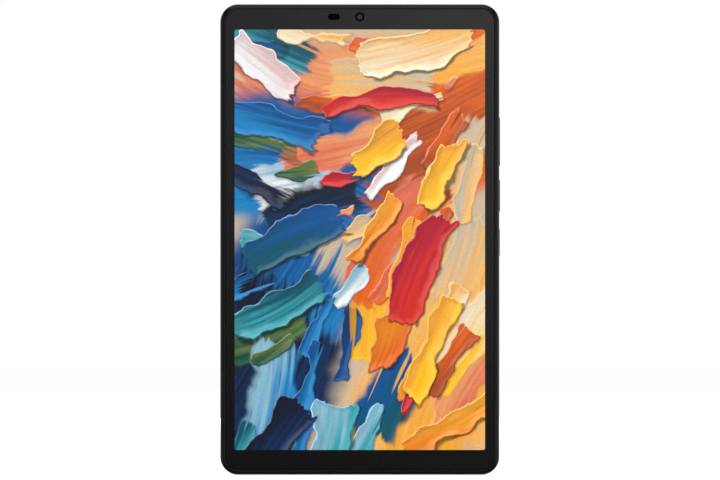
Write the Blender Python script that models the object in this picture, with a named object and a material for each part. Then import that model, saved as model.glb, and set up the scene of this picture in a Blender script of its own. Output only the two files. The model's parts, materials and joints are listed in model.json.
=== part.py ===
"""An 8.7-inch tablet computer, standing upright on its bottom edge.

Units are metres. +Z runs to the top edge, -Y is the way the screen faces, and +X is the side
with the buttons. The origin is at the middle of the bottom edge. Spans are (low, high) pairs.
"""

import math

import bmesh
import bpy
from mathutils import Vector

MM = 0.001


def about(centre, size):
    """The span of this size with its middle at centre."""
    return (centre - size / 2, centre + size / 2)


def behind(layer, thickness, gap):
    """The span of a layer that lies behind another one, further from the screen's face."""
    return (layer[1] + gap, layer[1] + gap + thickness)


def grown(span, by):
    """The span with both its ends moved outwards."""
    return (span[0] - by, span[1] + by)


# Outside of the body
BODY_WIDTH = 125.4 * MM
BODY_HEIGHT = 211.4 * MM
BODY_DEPTH = 8.8 * MM
CORNER_RADIUS = 8.0 * MM
CORNER_STEPS = 9
SHARP_ANGLE = math.radians(35)

SIDE_X = BODY_WIDTH / 2
FRONT_Y = -BODY_DEPTH / 2
BACK_Y = BODY_DEPTH / 2

# Rear cover: a tub whose edge is rounded at the back and runs to a thin lip round the front
BACK_EDGE_RADIUS = 3.0 * MM
BACK_EDGE_STEPS = 6
FRONT_EDGE_START_Y = -0.5 * MM
FRONT_EDGE_HALF_WIDTH = 1.9 * MM
FRONT_EDGE_HALF_DEPTH = 3.7 * MM
FRONT_EDGE_TURN = math.radians(70)
FRONT_EDGE_STEPS = 6
LIP_Y = FRONT_Y + 0.3 * MM
LIP_CHAMFER_END = 1.45 * MM
COVER_WALL = 1.55 * MM
COVER_BACK_THICKNESS = 1.2 * MM
COVER_FLOOR_Y = BACK_Y - COVER_BACK_THICKNESS
COVER_INNER_CHAMFER = 0.9 * MM

# Display stack, from the glass to the middle frame
GAP = 0.05 * MM
GLASS_INSET = 2.05 * MM
GLASS_EDGE = 0.3 * MM
GLASS_Y = (FRONT_Y, FRONT_Y + 0.65 * MM)
BOND_Y = behind(GLASS_Y, 0.15 * MM, GAP)
PANEL_Y = behind(BOND_Y, 0.70 * MM, GAP)
DIFFUSER_Y = behind(PANEL_Y, 0.15 * MM, GAP)
GUIDE_Y = behind(DIFFUSER_Y, 0.45 * MM, GAP)
REFLECTOR_Y = behind(GUIDE_Y, 0.10 * MM, GAP)
TRAY_FLOOR_Y = behind(REFLECTOR_Y, 0.15 * MM, GAP)
PLATE_Y = behind(TRAY_FLOOR_Y, 0.70 * MM, 2 * GAP)

PANEL_X = (-57.8 * MM, 57.8 * MM)
PANEL_Z = (5.6 * MM, 201.6 * MM)
SHEET_X = (-57.4 * MM, 57.4 * MM)
GUIDE_Z = (6.5 * MM, 201.2 * MM)
BACKLIGHT_X = (-58.6 * MM, 58.6 * MM)
BACKLIGHT_Z = (4.9 * MM, 202.3 * MM)
BACKLIGHT_WALL = 0.2 * MM
BACKLIGHT_CORNER = 2.2 * MM
LAMP_STRIP_X = (-55.0 * MM, 55.0 * MM)
LAMP_GAPS = 11
LAMP_PITCH = 9.6 * MM
LAMP_GAP_SIZE = (1.2 * MM, 0.4 * MM)

# Middle frame: a plate with a stepped rim that the glass is taped to
RIM_OUTSIDE = COVER_WALL + 0.1 * MM
RIM_INSIDE = GLASS_INSET - 0.1 * MM
RIM_Y = FRONT_Y + 0.4 * MM
LEDGE_INSIDE = 3.55 * MM
TAPE_Y = behind(GLASS_Y, 0.1 * MM, GAP)
LEDGE_Y = TAPE_Y[1] + GAP
PLATE_BACK_Y = PLATE_Y[1]
HOLE_CLEARANCE = 0.2 * MM
DISPLAY_FLEX_X = (7.0 * MM, 19.0 * MM)
DISPLAY_FLEX_Z = (4.0 * MM, 10.0 * MM)
DISPLAY_FLEX_FILM = 0.12 * MM
FLEX_SLOT_Z = (3.7 * MM, 4.5 * MM)

# Boards, which lie on the back of the middle frame's plate
BOARD_Y = behind(PLATE_Y, 0.75 * MM, 0.2 * MM)
ON_BOARD_Y = BOARD_Y[1] + GAP
MAIN_COLUMN_X = (23.2 * MM, 58.5 * MM)
MAIN_COLUMN_Z = (92.0 * MM, 190.0 * MM)
MAIN_STRIP_X = (-16.0 * MM, 41.0 * MM)
MAIN_STRIP_Z = (187.0 * MM, 201.5 * MM)
USB_BOARD_X = (-24.0 * MM, 26.4 * MM)
USB_BOARD_Z = (5.2 * MM, 17.0 * MM)
CHIP_HEIGHT = 0.9 * MM
PROCESSOR_X = (29.0 * MM, 41.0 * MM)
PROCESSOR_Z = (136.0 * MM, 148.0 * MM)
STORAGE_X = (29.0 * MM, 40.5 * MM)
STORAGE_Z = (123.0 * MM, 134.0 * MM)
POWER_CHIP_X = (29.0 * MM, 36.0 * MM)
POWER_CHIP_Z = (159.0 * MM, 166.0 * MM)
RADIO_X = (39.0 * MM, 47.0 * MM)
RADIO_Z = (170.0 * MM, 178.0 * MM)
SHIELD_HEIGHT = 1.6 * MM
SHIELD_SHEET = 0.2 * MM
PROCESSOR_SHIELD_X = (26.0 * MM, 51.0 * MM)
PROCESSOR_SHIELD_Z = (121.0 * MM, 152.0 * MM)
RADIO_SHIELD_X = (26.0 * MM, 51.0 * MM)
RADIO_SHIELD_Z = (156.0 * MM, 183.0 * MM)
ANTENNA_Y = (1.2 * MM, 1.4 * MM)
CELLULAR_ANTENNA_X = (-57.0 * MM, -27.0 * MM)
CELLULAR_ANTENNA_Z = (3.2 * MM, 21.0 * MM)
WIFI_ANTENNA_X = (6.0 * MM, 40.0 * MM)
WIFI_ANTENNA_Z = (202.8 * MM, 208.6 * MM)

# Battery
BATTERY_X = (-57.5 * MM, 22.5 * MM)
BATTERY_Z = (24.0 * MM, 184.0 * MM)
BATTERY_TAPE_Y = behind(PLATE_Y, 0.1 * MM, GAP)
BATTERY_Y = behind(BATTERY_TAPE_Y, 3.2 * MM, GAP)
BATTERY_EDGE_RADIUS = 1.4 * MM
BATTERY_TAPE_MARGIN = 6.0 * MM
BATTERY_FLEX_X = (0.0, 12.0 * MM)

# Keys and card tray, all in a row down the +X side
KEY_Y = 0.6 * MM
KEY_WIDTH = 2.1 * MM
KEY_PROUD = 0.3 * MM
KEY_CLEARANCE = 0.15 * MM
KEY_EDGE = 0.25 * MM
ROCKER_Z = BODY_HEIGHT - 61.8 * MM
ROCKER_LENGTH = 21.8 * MM
POWER_Z = BODY_HEIGHT - 86.0 * MM
POWER_LENGTH = 14.1 * MM
TRAY_Z = BODY_HEIGHT - 107.0 * MM
TRAY_LENGTH = 12.1 * MM
FLANGE_X = (60.1 * MM, 60.7 * MM)
FLANGE_EXTRA = 1.0 * MM
FLANGE_WIDTH = 2.5 * MM
NUB_X = 59.9 * MM
NUB_RADIUS = 0.6 * MM
ROCKER_NUB_OFFSET = 7.5 * MM
ROCKER_PIVOT_X = 60.2 * MM
DOME_X = (59.42 * MM, 59.62 * MM)
DOME_RADIUS = 0.95 * MM
KEY_FLEX_X = (59.25 * MM, 59.38 * MM)
KEY_STRIP_Z = (116.0 * MM, 163.0 * MM)
KEY_TAIL_Z = (134.5 * MM, 138.5 * MM)
BRACKET_X = (58.8 * MM, 59.2 * MM)
BRACKET_FOOT_X = 55.6 * MM
BRACKET_TOP_Y = 2.3 * MM
KEY_STRIP_WIDTH = 2.2 * MM
KEY_TAIL_Y = (KEY_Y + 0.95 * MM, KEY_Y + 1.08 * MM)

# Card tray, its socket, and the rod and lever that push it out
TRAY_PROUD = 0.2 * MM
TRAY_HEAD_X = (61.9 * MM, SIDE_X + TRAY_PROUD)
TRAY_NECK_X = (61.0 * MM, 62.2 * MM)
TRAY_NECK_LENGTH = 10.6 * MM
TRAY_NECK_WIDTH = 1.1 * MM
TRAY_BODY_X = (44.6 * MM, 61.2 * MM)
TRAY_BODY_LENGTH = 11.7 * MM
TRAY_BODY_Y = (0.35 * MM, 1.15 * MM)
CARD_X = (45.2 * MM, 60.3 * MM)
CARD_WIDTH = 10.9 * MM
CARD_FLOOR = 0.25 * MM
SOCKET_X = (45.5 * MM, 60.4 * MM)
SOCKET_TOP_Y = (1.45 * MM, 1.65 * MM)
SOCKET_WALL = 0.3 * MM
ROD_Z = TRAY_Z + 8.2 * MM
ROD_X = (43.6 * MM, 60.9 * MM)
ROD_RADIUS = 0.4 * MM
PIN_HOLE_RADIUS = 0.5 * MM
LEVER_X = (42.4 * MM, 43.3 * MM)
LEVER_PIVOT_Z = TRAY_Z + 4.1 * MM
LEVER_Z = (TRAY_Z - 0.9 * MM, ROD_Z + 0.9 * MM)
LEVER_Y = (0.35 * MM, 0.95 * MM)
LEVER_PIVOT_RADIUS = 0.8 * MM
LEVER_BOSS_TOP_Y = 1.3 * MM
CONTACT_WINDOW_X = (46.5 * MM, 52.0 * MM)
CONTACT_WINDOW_LENGTH = 8.0 * MM

# Openings in the top and bottom edges
PORT_Y = 0.9 * MM
PORT_LENGTH = 8.94 * MM
PORT_WIDTH = 3.2 * MM
PORT_SHELL = 0.25 * MM
PORT_Z = (0.35 * MM, 7.8 * MM)
PORT_CLEARANCE = 0.15 * MM
TONGUE_X = (-3.35 * MM, 3.35 * MM)
TONGUE_THICKNESS = 0.7 * MM
JACK_X = -52.0 * MM
JACK_Y = 1.1 * MM
JACK_SIZE = 5.6 * MM
JACK_Z = (196.0 * MM, BODY_HEIGHT - 2.6 * MM)
JACK_BORE_RADIUS = 1.75 * MM
JACK_END_WALL = 0.8 * MM
MICROPHONE_X = -14.0 * MM
MICROPHONE_Z = (5.4 * MM, 8.9 * MM)
MICROPHONE_SIZE = (2.8 * MM, 1.0 * MM)
MICROPHONE_HOLE_RADIUS = 0.45 * MM
SLOT_COUNT = 5
SLOT_PITCH = 3.8 * MM
SLOT_LENGTH = 2.6 * MM
SLOT_WIDTH = 1.1 * MM
SLOT_Y = 0.9 * MM
BOTTOM_SPEAKER_X = (27.0 * MM, 56.0 * MM)
BOTTOM_SPEAKER_Z = (1.95 * MM, 42.0 * MM)
TOP_SPEAKER_X = (-47.0 * MM, -18.0 * MM)
TOP_SPEAKER_Z = (187.5 * MM, BODY_HEIGHT - 1.95 * MM)
SPEAKER_BACK_Y = 2.2 * MM
SPEAKER_MESH = 0.15 * MM
SPEAKER_MESH_WIDTH = 2.6 * MM
SPEAKER_CHANNEL_DEPTH = 4.5 * MM

# Cameras and light sensor
FRONT_CAMERA_Z = BODY_HEIGHT - 5.66 * MM
FRONT_BARREL_RADIUS = 2.1 * MM
FRONT_LENS_RADIUS = 1.35 * MM
FRONT_MODULE_SIZE = 6.4 * MM
FRONT_MODULE_BACK_Y = 1.9 * MM
SENSOR_X = -11.6 * MM
SENSOR_SIZE = (4.6 * MM, 2.1 * MM)
SENSOR_BACK_Y = 0.6 * MM
REAR_CAMERA_X = 48.5 * MM
REAR_CAMERA_Z = 199.5 * MM
REAR_MODULE_SIZE = 9.0 * MM
REAR_MODULE_BACK_Y = 2.9 * MM
REAR_BARREL_RADIUS = 3.1 * MM
REAR_BARREL_Y = (0.7 * MM, 2.7 * MM)
REAR_BORE_FLOOR_Y = 0.3 * MM
RING_RADIUS = 6.7 * MM
RING_BACK_Y = BACK_Y + 0.95 * MM
RING_NECK_RADIUS = 5.3 * MM
RING_BORE_RADIUS = 3.9 * MM
WINDOW_RADIUS = 4.45 * MM
WINDOW_Y = (BACK_Y + 0.40 * MM, BACK_Y + 0.70 * MM)
WINDOW_CLEARANCE = 0.1 * MM
RING_EDGE = 0.3 * MM
REAR_CONE_RADIUS = (1.5 * MM, 1.1 * MM)
REAR_CONE_DEPTH = 0.5 * MM

# Screws
SCREW_HEAD_RADIUS = 1.2 * MM
SCREW_HEAD_HEIGHT = 0.45 * MM
SCREW_SHANK_RADIUS = 0.6 * MM
SCREW_HOLE_RADIUS = 0.8 * MM
MAIN_SCREWS = [(30.5, 95.5), (54.5, 94.8), (54.5, 171.0), (-12.5, 197.5)]
USB_SCREWS = [(-20.0, 13.5), (15.5, 13.5)]


# Outlines are lists of pairs. In a plane across Y they are (x, z), across X (y, z), across Z (x, y).


def rounded_rectangle(first, second, radius, steps=CORNER_STEPS):
    """A rectangle over two spans, with its four corners rounded."""
    points = []
    corners = (
        (first[1] - radius, second[1] - radius, 0),
        (first[0] + radius, second[1] - radius, 90),
        (first[0] + radius, second[0] + radius, 180),
        (first[1] - radius, second[0] + radius, 270),
    )
    for centre_a, centre_b, start in corners:
        for step in range(steps + 1):
            angle = math.radians(start + 90 * step / steps)
            points.append((centre_a + radius * math.cos(angle), centre_b + radius * math.sin(angle)))
    return points


def rectangle(first, second):
    return [(first[0], second[0]), (first[1], second[0]), (first[1], second[1]), (first[0], second[1])]


def circle(centre_a, centre_b, radius, segments=20):
    points = []
    for step in range(segments):
        angle = 2 * math.pi * step / segments
        points.append((centre_a + radius * math.cos(angle), centre_b + radius * math.sin(angle)))
    return points


def body_outline(inset):
    """The body's outline, moved inwards."""
    radius = max(CORNER_RADIUS - inset, 0.5 * MM)
    return rounded_rectangle((-SIDE_X + inset, SIDE_X - inset), (inset, BODY_HEIGHT - inset), radius)


def in_space(outline, axis, at):
    """An outline's points in the plane across an axis, at a place along it."""
    if axis == "X":
        return [(at, a, b) for a, b in outline]
    if axis == "Y":
        return [(a, at, b) for a, b in outline]
    return [(a, b, at) for a, b in outline]


def loft(rings, joined=False):
    """A skin over rings of equal length. Its ends are capped, or joined to each other."""
    shape = bmesh.new()
    loops = [[shape.verts.new(point) for point in ring] for ring in rings]
    pairs = list(zip(loops, loops[1:]))
    if joined:
        pairs.append((loops[-1], loops[0]))
    else:
        shape.faces.new(loops[0])
        shape.faces.new(loops[-1])
    for first, second in pairs:
        for i, vertex in enumerate(first):
            j = (i + 1) % len(first)
            shape.faces.new((vertex, first[j], second[j], second[i]))
    return shape


def material(name, colour, roughness, metallic=0.0):
    """A plain surface, made once for each name."""
    if name in bpy.data.materials:
        return bpy.data.materials[name]
    made = bpy.data.materials.new(name)
    made.use_nodes = True
    shader = made.node_tree.nodes["Principled BSDF"]
    shader.inputs["Base Color"].default_value = (*colour, 1.0)
    shader.inputs["Roughness"].default_value = roughness
    shader.inputs["Metallic"].default_value = metallic
    return made


def housing_plastic():
    return material("housing_plastic", (0.035, 0.037, 0.042), 0.45)


def frame_plastic():
    return material("frame_plastic", (0.012, 0.012, 0.014), 0.55)


def black_plastic():
    return material("black_plastic", (0.010, 0.010, 0.010), 0.5)


def front_glass():
    return material("front_glass", (0.008, 0.008, 0.009), 0.05)


def lens_glass():
    return material("lens_glass", (0.010, 0.012, 0.020), 0.03)


def steel():
    return material("steel", (0.55, 0.55, 0.56), 0.3, 1.0)


def dark_metal():
    return material("dark_metal", (0.09, 0.09, 0.10), 0.35, 1.0)


def clear_film():
    return material("clear_film", (0.80, 0.82, 0.84), 0.2)


def circuit_board():
    return material("circuit_board", (0.010, 0.060, 0.035), 0.45)


def chip_resin():
    return material("chip_resin", (0.015, 0.015, 0.017), 0.6)


def flex_film():
    return material("flex_film", (0.32, 0.14, 0.03), 0.4)


def battery_foil():
    return material("battery_foil", (0.45, 0.46, 0.48), 0.4, 0.6)


def rubber():
    return material("rubber", (0.012, 0.012, 0.012), 0.8)


def finished(name, shape, look, origin=(0.0, 0.0, 0.0)):
    """An object made of a shape that is given in world coordinates, with its origin at a point."""
    bmesh.ops.recalc_face_normals(shape, faces=shape.faces)
    bmesh.ops.translate(shape, verts=shape.verts, vec=-Vector(origin))
    mesh = bpy.data.meshes.new(name)
    shape.to_mesh(mesh)
    shape.free()
    mesh.shade_smooth()
    mesh.set_sharp_from_angle(angle=SHARP_ANGLE)
    mesh.materials.append(look)
    made = bpy.data.objects.new(name, mesh)
    made.location = origin
    bpy.context.scene.collection.objects.link(made)
    return made


def prism(name, outline, axis, span, look, origin=(0.0, 0.0, 0.0)):
    """An outline extruded along an axis."""
    rings = [in_space(outline, axis, at) for at in span]
    return finished(name, loft(rings), look, origin)


def box(name, x, y, z, look, origin=(0.0, 0.0, 0.0)):
    return prism(name, rectangle(x, z), "Y", y, look, origin)


def turned(name, centre_a, centre_b, axis, profile, look, joined=False, origin=(0.0, 0.0, 0.0)):
    """A round piece about an axis. Its profile is a list of (radius, place along the axis)."""
    rings = [in_space(circle(centre_a, centre_b, radius), axis, at) for radius, at in profile]
    return finished(name, loft(rings, joined), look, origin)


def combine(target, tool, operation):
    """Cuts a tool out of a target, or joins it on. The tool stays in the scene as a guide."""
    tool.hide_render = True
    tool.display_type = "WIRE"
    step = target.modifiers.new(tool.name, "BOOLEAN")
    step.operation = operation
    step.solver = "EXACT"
    step.object = tool


def cut(target, tool):
    combine(target, tool, "DIFFERENCE")


def join(target, tool):
    combine(target, tool, "UNION")


def key_outline(length, width, z, inset=0.0):
    """A key's or a tray's rounded outline, seen from the +X side, as (y, z)."""
    y = grown(about(KEY_Y, width), -inset)
    radius = min(width * 0.35, (y[1] - y[0]) * 0.49)
    return rounded_rectangle(y, grown(about(z, length), -inset), radius, 4)


def slot_outline(x, y, length, width):
    """A slot with round ends, seen along Z, as (x, y)."""
    return rounded_rectangle(about(x, length), about(y, width), width * 0.49, 4)


def rear_cover_rings():
    """The tub's outside from the back to the lip, then its inside from the lip to the floor."""
    rings = []
    for step in range(BACK_EDGE_STEPS + 1):
        angle = math.radians(90 * step / BACK_EDGE_STEPS)
        inset = BACK_EDGE_RADIUS * (1 - math.sin(angle))
        rings.append((inset, BACK_Y - BACK_EDGE_RADIUS * (1 - math.cos(angle))))
    for step in range(FRONT_EDGE_STEPS + 1):
        angle = FRONT_EDGE_TURN * step / FRONT_EDGE_STEPS
        inset = FRONT_EDGE_HALF_WIDTH * (1 - math.cos(angle))
        rings.append((inset, FRONT_EDGE_START_Y - FRONT_EDGE_HALF_DEPTH * math.sin(angle)))
    rings.append((LIP_CHAMFER_END, LIP_Y))
    rings.append((COVER_WALL, LIP_Y))
    rings.append((COVER_WALL, COVER_FLOOR_Y - COVER_INNER_CHAMFER))
    rings.append((COVER_WALL + COVER_INNER_CHAMFER, COVER_FLOOR_Y))
    return [in_space(body_outline(inset), "Y", y) for inset, y in rings]


def side_openings():
    """Cutters for the keys, the card tray and the hole for the eject pin."""
    through = (SIDE_X - 2 * COVER_WALL, SIDE_X + COVER_WALL)
    rows = [
        ("rocker", ROCKER_Z, ROCKER_LENGTH),
        ("power", POWER_Z, POWER_LENGTH),
        ("tray", TRAY_Z, TRAY_LENGTH),
    ]
    tools = []
    for name, z, length in rows:
        outline = key_outline(length, KEY_WIDTH, z, -KEY_CLEARANCE)
        tools.append(prism(f"{name}_opening", outline, "X", through, housing_plastic()))
    pin_hole = circle(KEY_Y, ROD_Z, PIN_HOLE_RADIUS, 12)
    tools.append(prism("pin_hole", pin_hole, "X", through, housing_plastic()))
    return tools


def edge_openings():
    """Cutters for the port, the microphone, the headphone jack and both rows of speaker slots."""
    bottom = (-COVER_WALL, 2 * COVER_WALL)
    top = (BODY_HEIGHT - 2 * COVER_WALL, BODY_HEIGHT + COVER_WALL)
    look = housing_plastic()
    port = slot_outline(0, PORT_Y, PORT_LENGTH + 2 * PORT_CLEARANCE, PORT_WIDTH + 2 * PORT_CLEARANCE)
    microphone = circle(MICROPHONE_X, SLOT_Y, MICROPHONE_HOLE_RADIUS, 12)
    jack = circle(JACK_X, JACK_Y, JACK_BORE_RADIUS + GAP)
    tools = [
        prism("port_opening", port, "Z", bottom, look),
        prism("microphone_hole", microphone, "Z", bottom, look),
        prism("jack_hole", jack, "Z", top, look),
    ]
    for name, speaker, edge in (("bottom", BOTTOM_SPEAKER_X, bottom), ("top", TOP_SPEAKER_X, top)):
        middle = (speaker[0] + speaker[1]) / 2
        for number in range(SLOT_COUNT):
            x = middle + (number - (SLOT_COUNT - 1) / 2) * SLOT_PITCH
            outline = slot_outline(x, SLOT_Y, SLOT_LENGTH, SLOT_WIDTH)
            tools.append(prism(f"{name}_slot_{number + 1}", outline, "Z", edge, look))
    return tools


def rear_cover():
    cover = finished("rear_cover", loft(rear_cover_rings()), housing_plastic())
    camera_hole = circle(REAR_CAMERA_X, REAR_CAMERA_Z, RING_NECK_RADIUS + HOLE_CLEARANCE, 28)
    through = (COVER_FLOOR_Y - 1 * MM, BACK_Y + 1 * MM)
    for tool in side_openings() + edge_openings():
        cut(cover, tool)
    cut(cover, prism("camera_hole", camera_hole, "Y", through, housing_plastic()))


def mid_frame():
    """The frame that holds everything: the glass and display in front, boards and battery behind."""
    rings = [
        (RIM_OUTSIDE, PLATE_BACK_Y),
        (RIM_OUTSIDE, RIM_Y),
        (RIM_INSIDE, RIM_Y),
        (RIM_INSIDE, LEDGE_Y),
        (LEDGE_INSIDE, LEDGE_Y),
        (LEDGE_INSIDE, PLATE_Y[0]),
    ]
    shape = loft([in_space(body_outline(inset), "Y", y) for inset, y in rings])
    frame = finished("mid_frame", shape, frame_plastic())
    look = frame_plastic()
    through = (FRONT_Y + 0.5 * MM, PLATE_BACK_Y + 1 * MM)
    camera = circle(0, FRONT_CAMERA_Z, FRONT_BARREL_RADIUS + HOLE_CLEARANCE)
    cut(frame, prism("front_camera_hole", camera, "Y", through, look))
    sensor_x = grown(about(SENSOR_X, SENSOR_SIZE[0]), HOLE_CLEARANCE)
    sensor_z = grown(about(FRONT_CAMERA_Z, SENSOR_SIZE[1]), HOLE_CLEARANCE)
    cut(frame, box("sensor_hole", sensor_x, through, sensor_z, look))
    flex_slot_x = grown(DISPLAY_FLEX_X, HOLE_CLEARANCE)
    cut(frame, box("display_flex_slot", flex_slot_x, through, FLEX_SLOT_Z, look))
    for number, (x, z) in enumerate(MAIN_SCREWS + USB_SCREWS):
        hole = circle(x * MM, z * MM, SCREW_HOLE_RADIUS, 12)
        cut(frame, prism(f"frame_screw_hole_{number + 1}", hole, "Y", through, look))


def cover_glass():
    rings = [
        (GLASS_INSET, GLASS_Y[1]),
        (GLASS_INSET, GLASS_Y[0] + GLASS_EDGE),
        (GLASS_INSET + 0.3 * GLASS_EDGE, GLASS_Y[0] + 0.3 * GLASS_EDGE),
        (GLASS_INSET + GLASS_EDGE, GLASS_Y[0]),
    ]
    shape = loft([in_space(body_outline(inset), "Y", y) for inset, y in rings])
    finished("cover_glass", shape, front_glass())


def glass_tape():
    outside = body_outline(GLASS_INSET + HOLE_CLEARANCE)
    inside = body_outline(LEDGE_INSIDE - HOLE_CLEARANCE)
    rings = [in_space(outside, "Y", y) for y in TAPE_Y] + [in_space(inside, "Y", y) for y in reversed(TAPE_Y)]
    tape = finished("glass_tape", loft(rings, joined=True), rubber())
    camera = circle(0, FRONT_CAMERA_Z, FRONT_BARREL_RADIUS + 0.3 * MM)
    cut(tape, prism("tape_camera_hole", camera, "Y", grown(TAPE_Y, 1 * MM), rubber()))


def display_sheets():
    """The flat layers between the glass and the backlight's tray."""
    box("optical_adhesive", PANEL_X, BOND_Y, PANEL_Z, clear_film())
    box("lcd_panel", PANEL_X, PANEL_Y, PANEL_Z, material("lcd_panel", (0.02, 0.02, 0.025), 0.15))
    box("diffuser_film", SHEET_X, DIFFUSER_Y, PANEL_Z, clear_film())
    box("light_guide", SHEET_X, GUIDE_Y, GUIDE_Z, clear_film())
    box("reflector_film", SHEET_X, REFLECTOR_Y, GUIDE_Z, material("white_film", (0.9, 0.9, 0.9), 0.35))


def backlight():
    """The steel tray that holds the sheets, and the strip of lamps at its bottom edge."""
    outside = rounded_rectangle(BACKLIGHT_X, BACKLIGHT_Z, BACKLIGHT_CORNER, 4)
    inside_x = grown(BACKLIGHT_X, -BACKLIGHT_WALL)
    inside_z = grown(BACKLIGHT_Z, -BACKLIGHT_WALL)
    inside = rounded_rectangle(inside_x, inside_z, BACKLIGHT_CORNER - BACKLIGHT_WALL, 4)
    tray = [
        in_space(outside, "Y", TRAY_FLOOR_Y[1]),
        in_space(outside, "Y", DIFFUSER_Y[0]),
        in_space(inside, "Y", DIFFUSER_Y[0]),
        in_space(inside, "Y", TRAY_FLOOR_Y[0]),
    ]
    finished("backlight_tray", loft(tray), steel())
    lamps_z = (BACKLIGHT_Z[0] + BACKLIGHT_WALL + GAP, GUIDE_Z[0] - HOLE_CLEARANCE)
    lamps = box("led_strip", LAMP_STRIP_X, GUIDE_Y, lamps_z, material("lamp_strip", (0.9, 0.85, 0.6), 0.4))
    notch_z = about(lamps_z[1], 2 * LAMP_GAP_SIZE[1])
    for number in range(LAMP_GAPS):
        x = about((number - (LAMP_GAPS - 1) / 2) * LAMP_PITCH, LAMP_GAP_SIZE[0])
        cut(lamps, box(f"lamp_gap_{number + 1}", x, grown(GUIDE_Y, HOLE_CLEARANCE), notch_z, steel()))


def display_flex():
    """A ribbon from the panel's bottom edge, through the frame's slot, onto the port's board."""
    film = DISPLAY_FLEX_FILM
    low, high = DISPLAY_FLEX_Z
    front = PANEL_Y[0] + 0.2 * MM
    rear = ON_BOARD_Y + film
    joint = PANEL_Z[0] - 0.1 * MM
    outline = [
        (front, joint),
        (front, low),
        (rear, low),
        (rear, high),
        (rear - film, high),
        (rear - film, low + film),
        (front + film, low + film),
        (front + film, joint),
    ]
    prism("display_flex", outline, "X", DISPLAY_FLEX_X, flex_film())


def front_camera():
    """The module behind the middle frame, its barrel that reaches the glass, and its lens."""
    lens_y = (GLASS_Y[1] + 0.25 * MM, PLATE_BACK_Y)
    x = about(0, FRONT_MODULE_SIZE)
    z = about(FRONT_CAMERA_Z, FRONT_MODULE_SIZE)
    module_y = (PLATE_BACK_Y + GAP, FRONT_MODULE_BACK_Y)
    module = box("front_camera_module", x, module_y, z, black_plastic())
    barrel = [(FRONT_BARREL_RADIUS, GLASS_Y[1] + 0.1 * MM), (FRONT_BARREL_RADIUS, 0.2 * MM)]
    join(module, turned("front_barrel", 0, FRONT_CAMERA_Z, "Y", barrel, black_plastic()))
    bore_radius = FRONT_LENS_RADIUS + 0.1 * MM
    bore = [(bore_radius, FRONT_Y), (bore_radius, lens_y[1] + 0.3 * MM)]
    cut(module, turned("front_bore", 0, FRONT_CAMERA_Z, "Y", bore, black_plastic()))
    lens = [
        (0.6 * FRONT_LENS_RADIUS, lens_y[0]),
        (FRONT_LENS_RADIUS, lens_y[0] + 0.25 * MM),
        (FRONT_LENS_RADIUS, lens_y[1]),
    ]
    turned("front_camera_lens", 0, FRONT_CAMERA_Z, "Y", lens, lens_glass())


def light_sensor():
    x = about(SENSOR_X, SENSOR_SIZE[0])
    z = about(FRONT_CAMERA_Z, SENSOR_SIZE[1])
    box("light_sensor", x, (GLASS_Y[1] + HOLE_CLEARANCE, SENSOR_BACK_Y), z, black_plastic())


def rear_camera():
    """The module, the lens barrel that focuses in it, the window over them and its metal ring."""
    x, z = REAR_CAMERA_X, REAR_CAMERA_Z
    module_y = (BOARD_Y[0], REAR_MODULE_BACK_Y)
    module_x = about(x, REAR_MODULE_SIZE)
    module_z = about(z, REAR_MODULE_SIZE)
    module = box("rear_camera_module", module_x, module_y, module_z, dark_metal())
    bore_radius = REAR_BARREL_RADIUS + 0.3 * MM
    bore = [(bore_radius, REAR_BORE_FLOOR_Y), (bore_radius, REAR_MODULE_BACK_Y + 1 * MM)]
    cut(module, turned("rear_bore", x, z, "Y", bore, dark_metal()))
    barrel = [
        (REAR_BARREL_RADIUS, REAR_BARREL_Y[0]),
        (REAR_BARREL_RADIUS, REAR_BARREL_Y[1] - RING_EDGE),
        (REAR_BARREL_RADIUS - RING_EDGE, REAR_BARREL_Y[1]),
        (REAR_CONE_RADIUS[0], REAR_BARREL_Y[1]),
        (REAR_CONE_RADIUS[1], REAR_BARREL_Y[1] - REAR_CONE_DEPTH),
    ]
    turned("rear_camera_lens", x, z, "Y", barrel, black_plastic(), origin=(x, REAR_BARREL_Y[0], z))
    turned("rear_camera_window", x, z, "Y", [(WINDOW_RADIUS, y) for y in WINDOW_Y], lens_glass())
    flange_y = BACK_Y + 0.1 * MM
    neck_y = BACK_Y - 1.1 * MM
    seat_y = WINDOW_Y[0] - GAP
    profile = [
        (RING_NECK_RADIUS, neck_y),
        (RING_NECK_RADIUS, flange_y),
        (RING_RADIUS, flange_y),
        (RING_RADIUS, RING_BACK_Y - RING_EDGE),
        (RING_RADIUS - RING_EDGE, RING_BACK_Y),
        (WINDOW_RADIUS + 3 * WINDOW_CLEARANCE, RING_BACK_Y),
        (WINDOW_RADIUS + WINDOW_CLEARANCE, RING_BACK_Y - 2 * WINDOW_CLEARANCE),
        (WINDOW_RADIUS + WINDOW_CLEARANCE, seat_y),
        (RING_BORE_RADIUS, seat_y),
        (RING_BORE_RADIUS, neck_y),
    ]
    rings = [in_space(circle(x, z, radius, 32), "Y", y) for radius, y in profile]
    finished("rear_camera_ring", loft(rings, joined=True), dark_metal())


def main_board():
    """An L-shaped board: a column beside the battery and a strip above it."""
    outline = [
        (MAIN_COLUMN_X[0], MAIN_COLUMN_Z[0]),
        (MAIN_COLUMN_X[1], MAIN_COLUMN_Z[0]),
        (MAIN_COLUMN_X[1], MAIN_COLUMN_Z[1]),
        (MAIN_STRIP_X[1], MAIN_COLUMN_Z[1]),
        (MAIN_STRIP_X[1], MAIN_STRIP_Z[1]),
        (MAIN_STRIP_X[0], MAIN_STRIP_Z[1]),
        (MAIN_STRIP_X[0], MAIN_STRIP_Z[0]),
        (MAIN_COLUMN_X[0], MAIN_STRIP_Z[0]),
    ]
    board = prism("main_board", outline, "Y", BOARD_Y, circuit_board())
    drill(board, MAIN_SCREWS)


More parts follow.
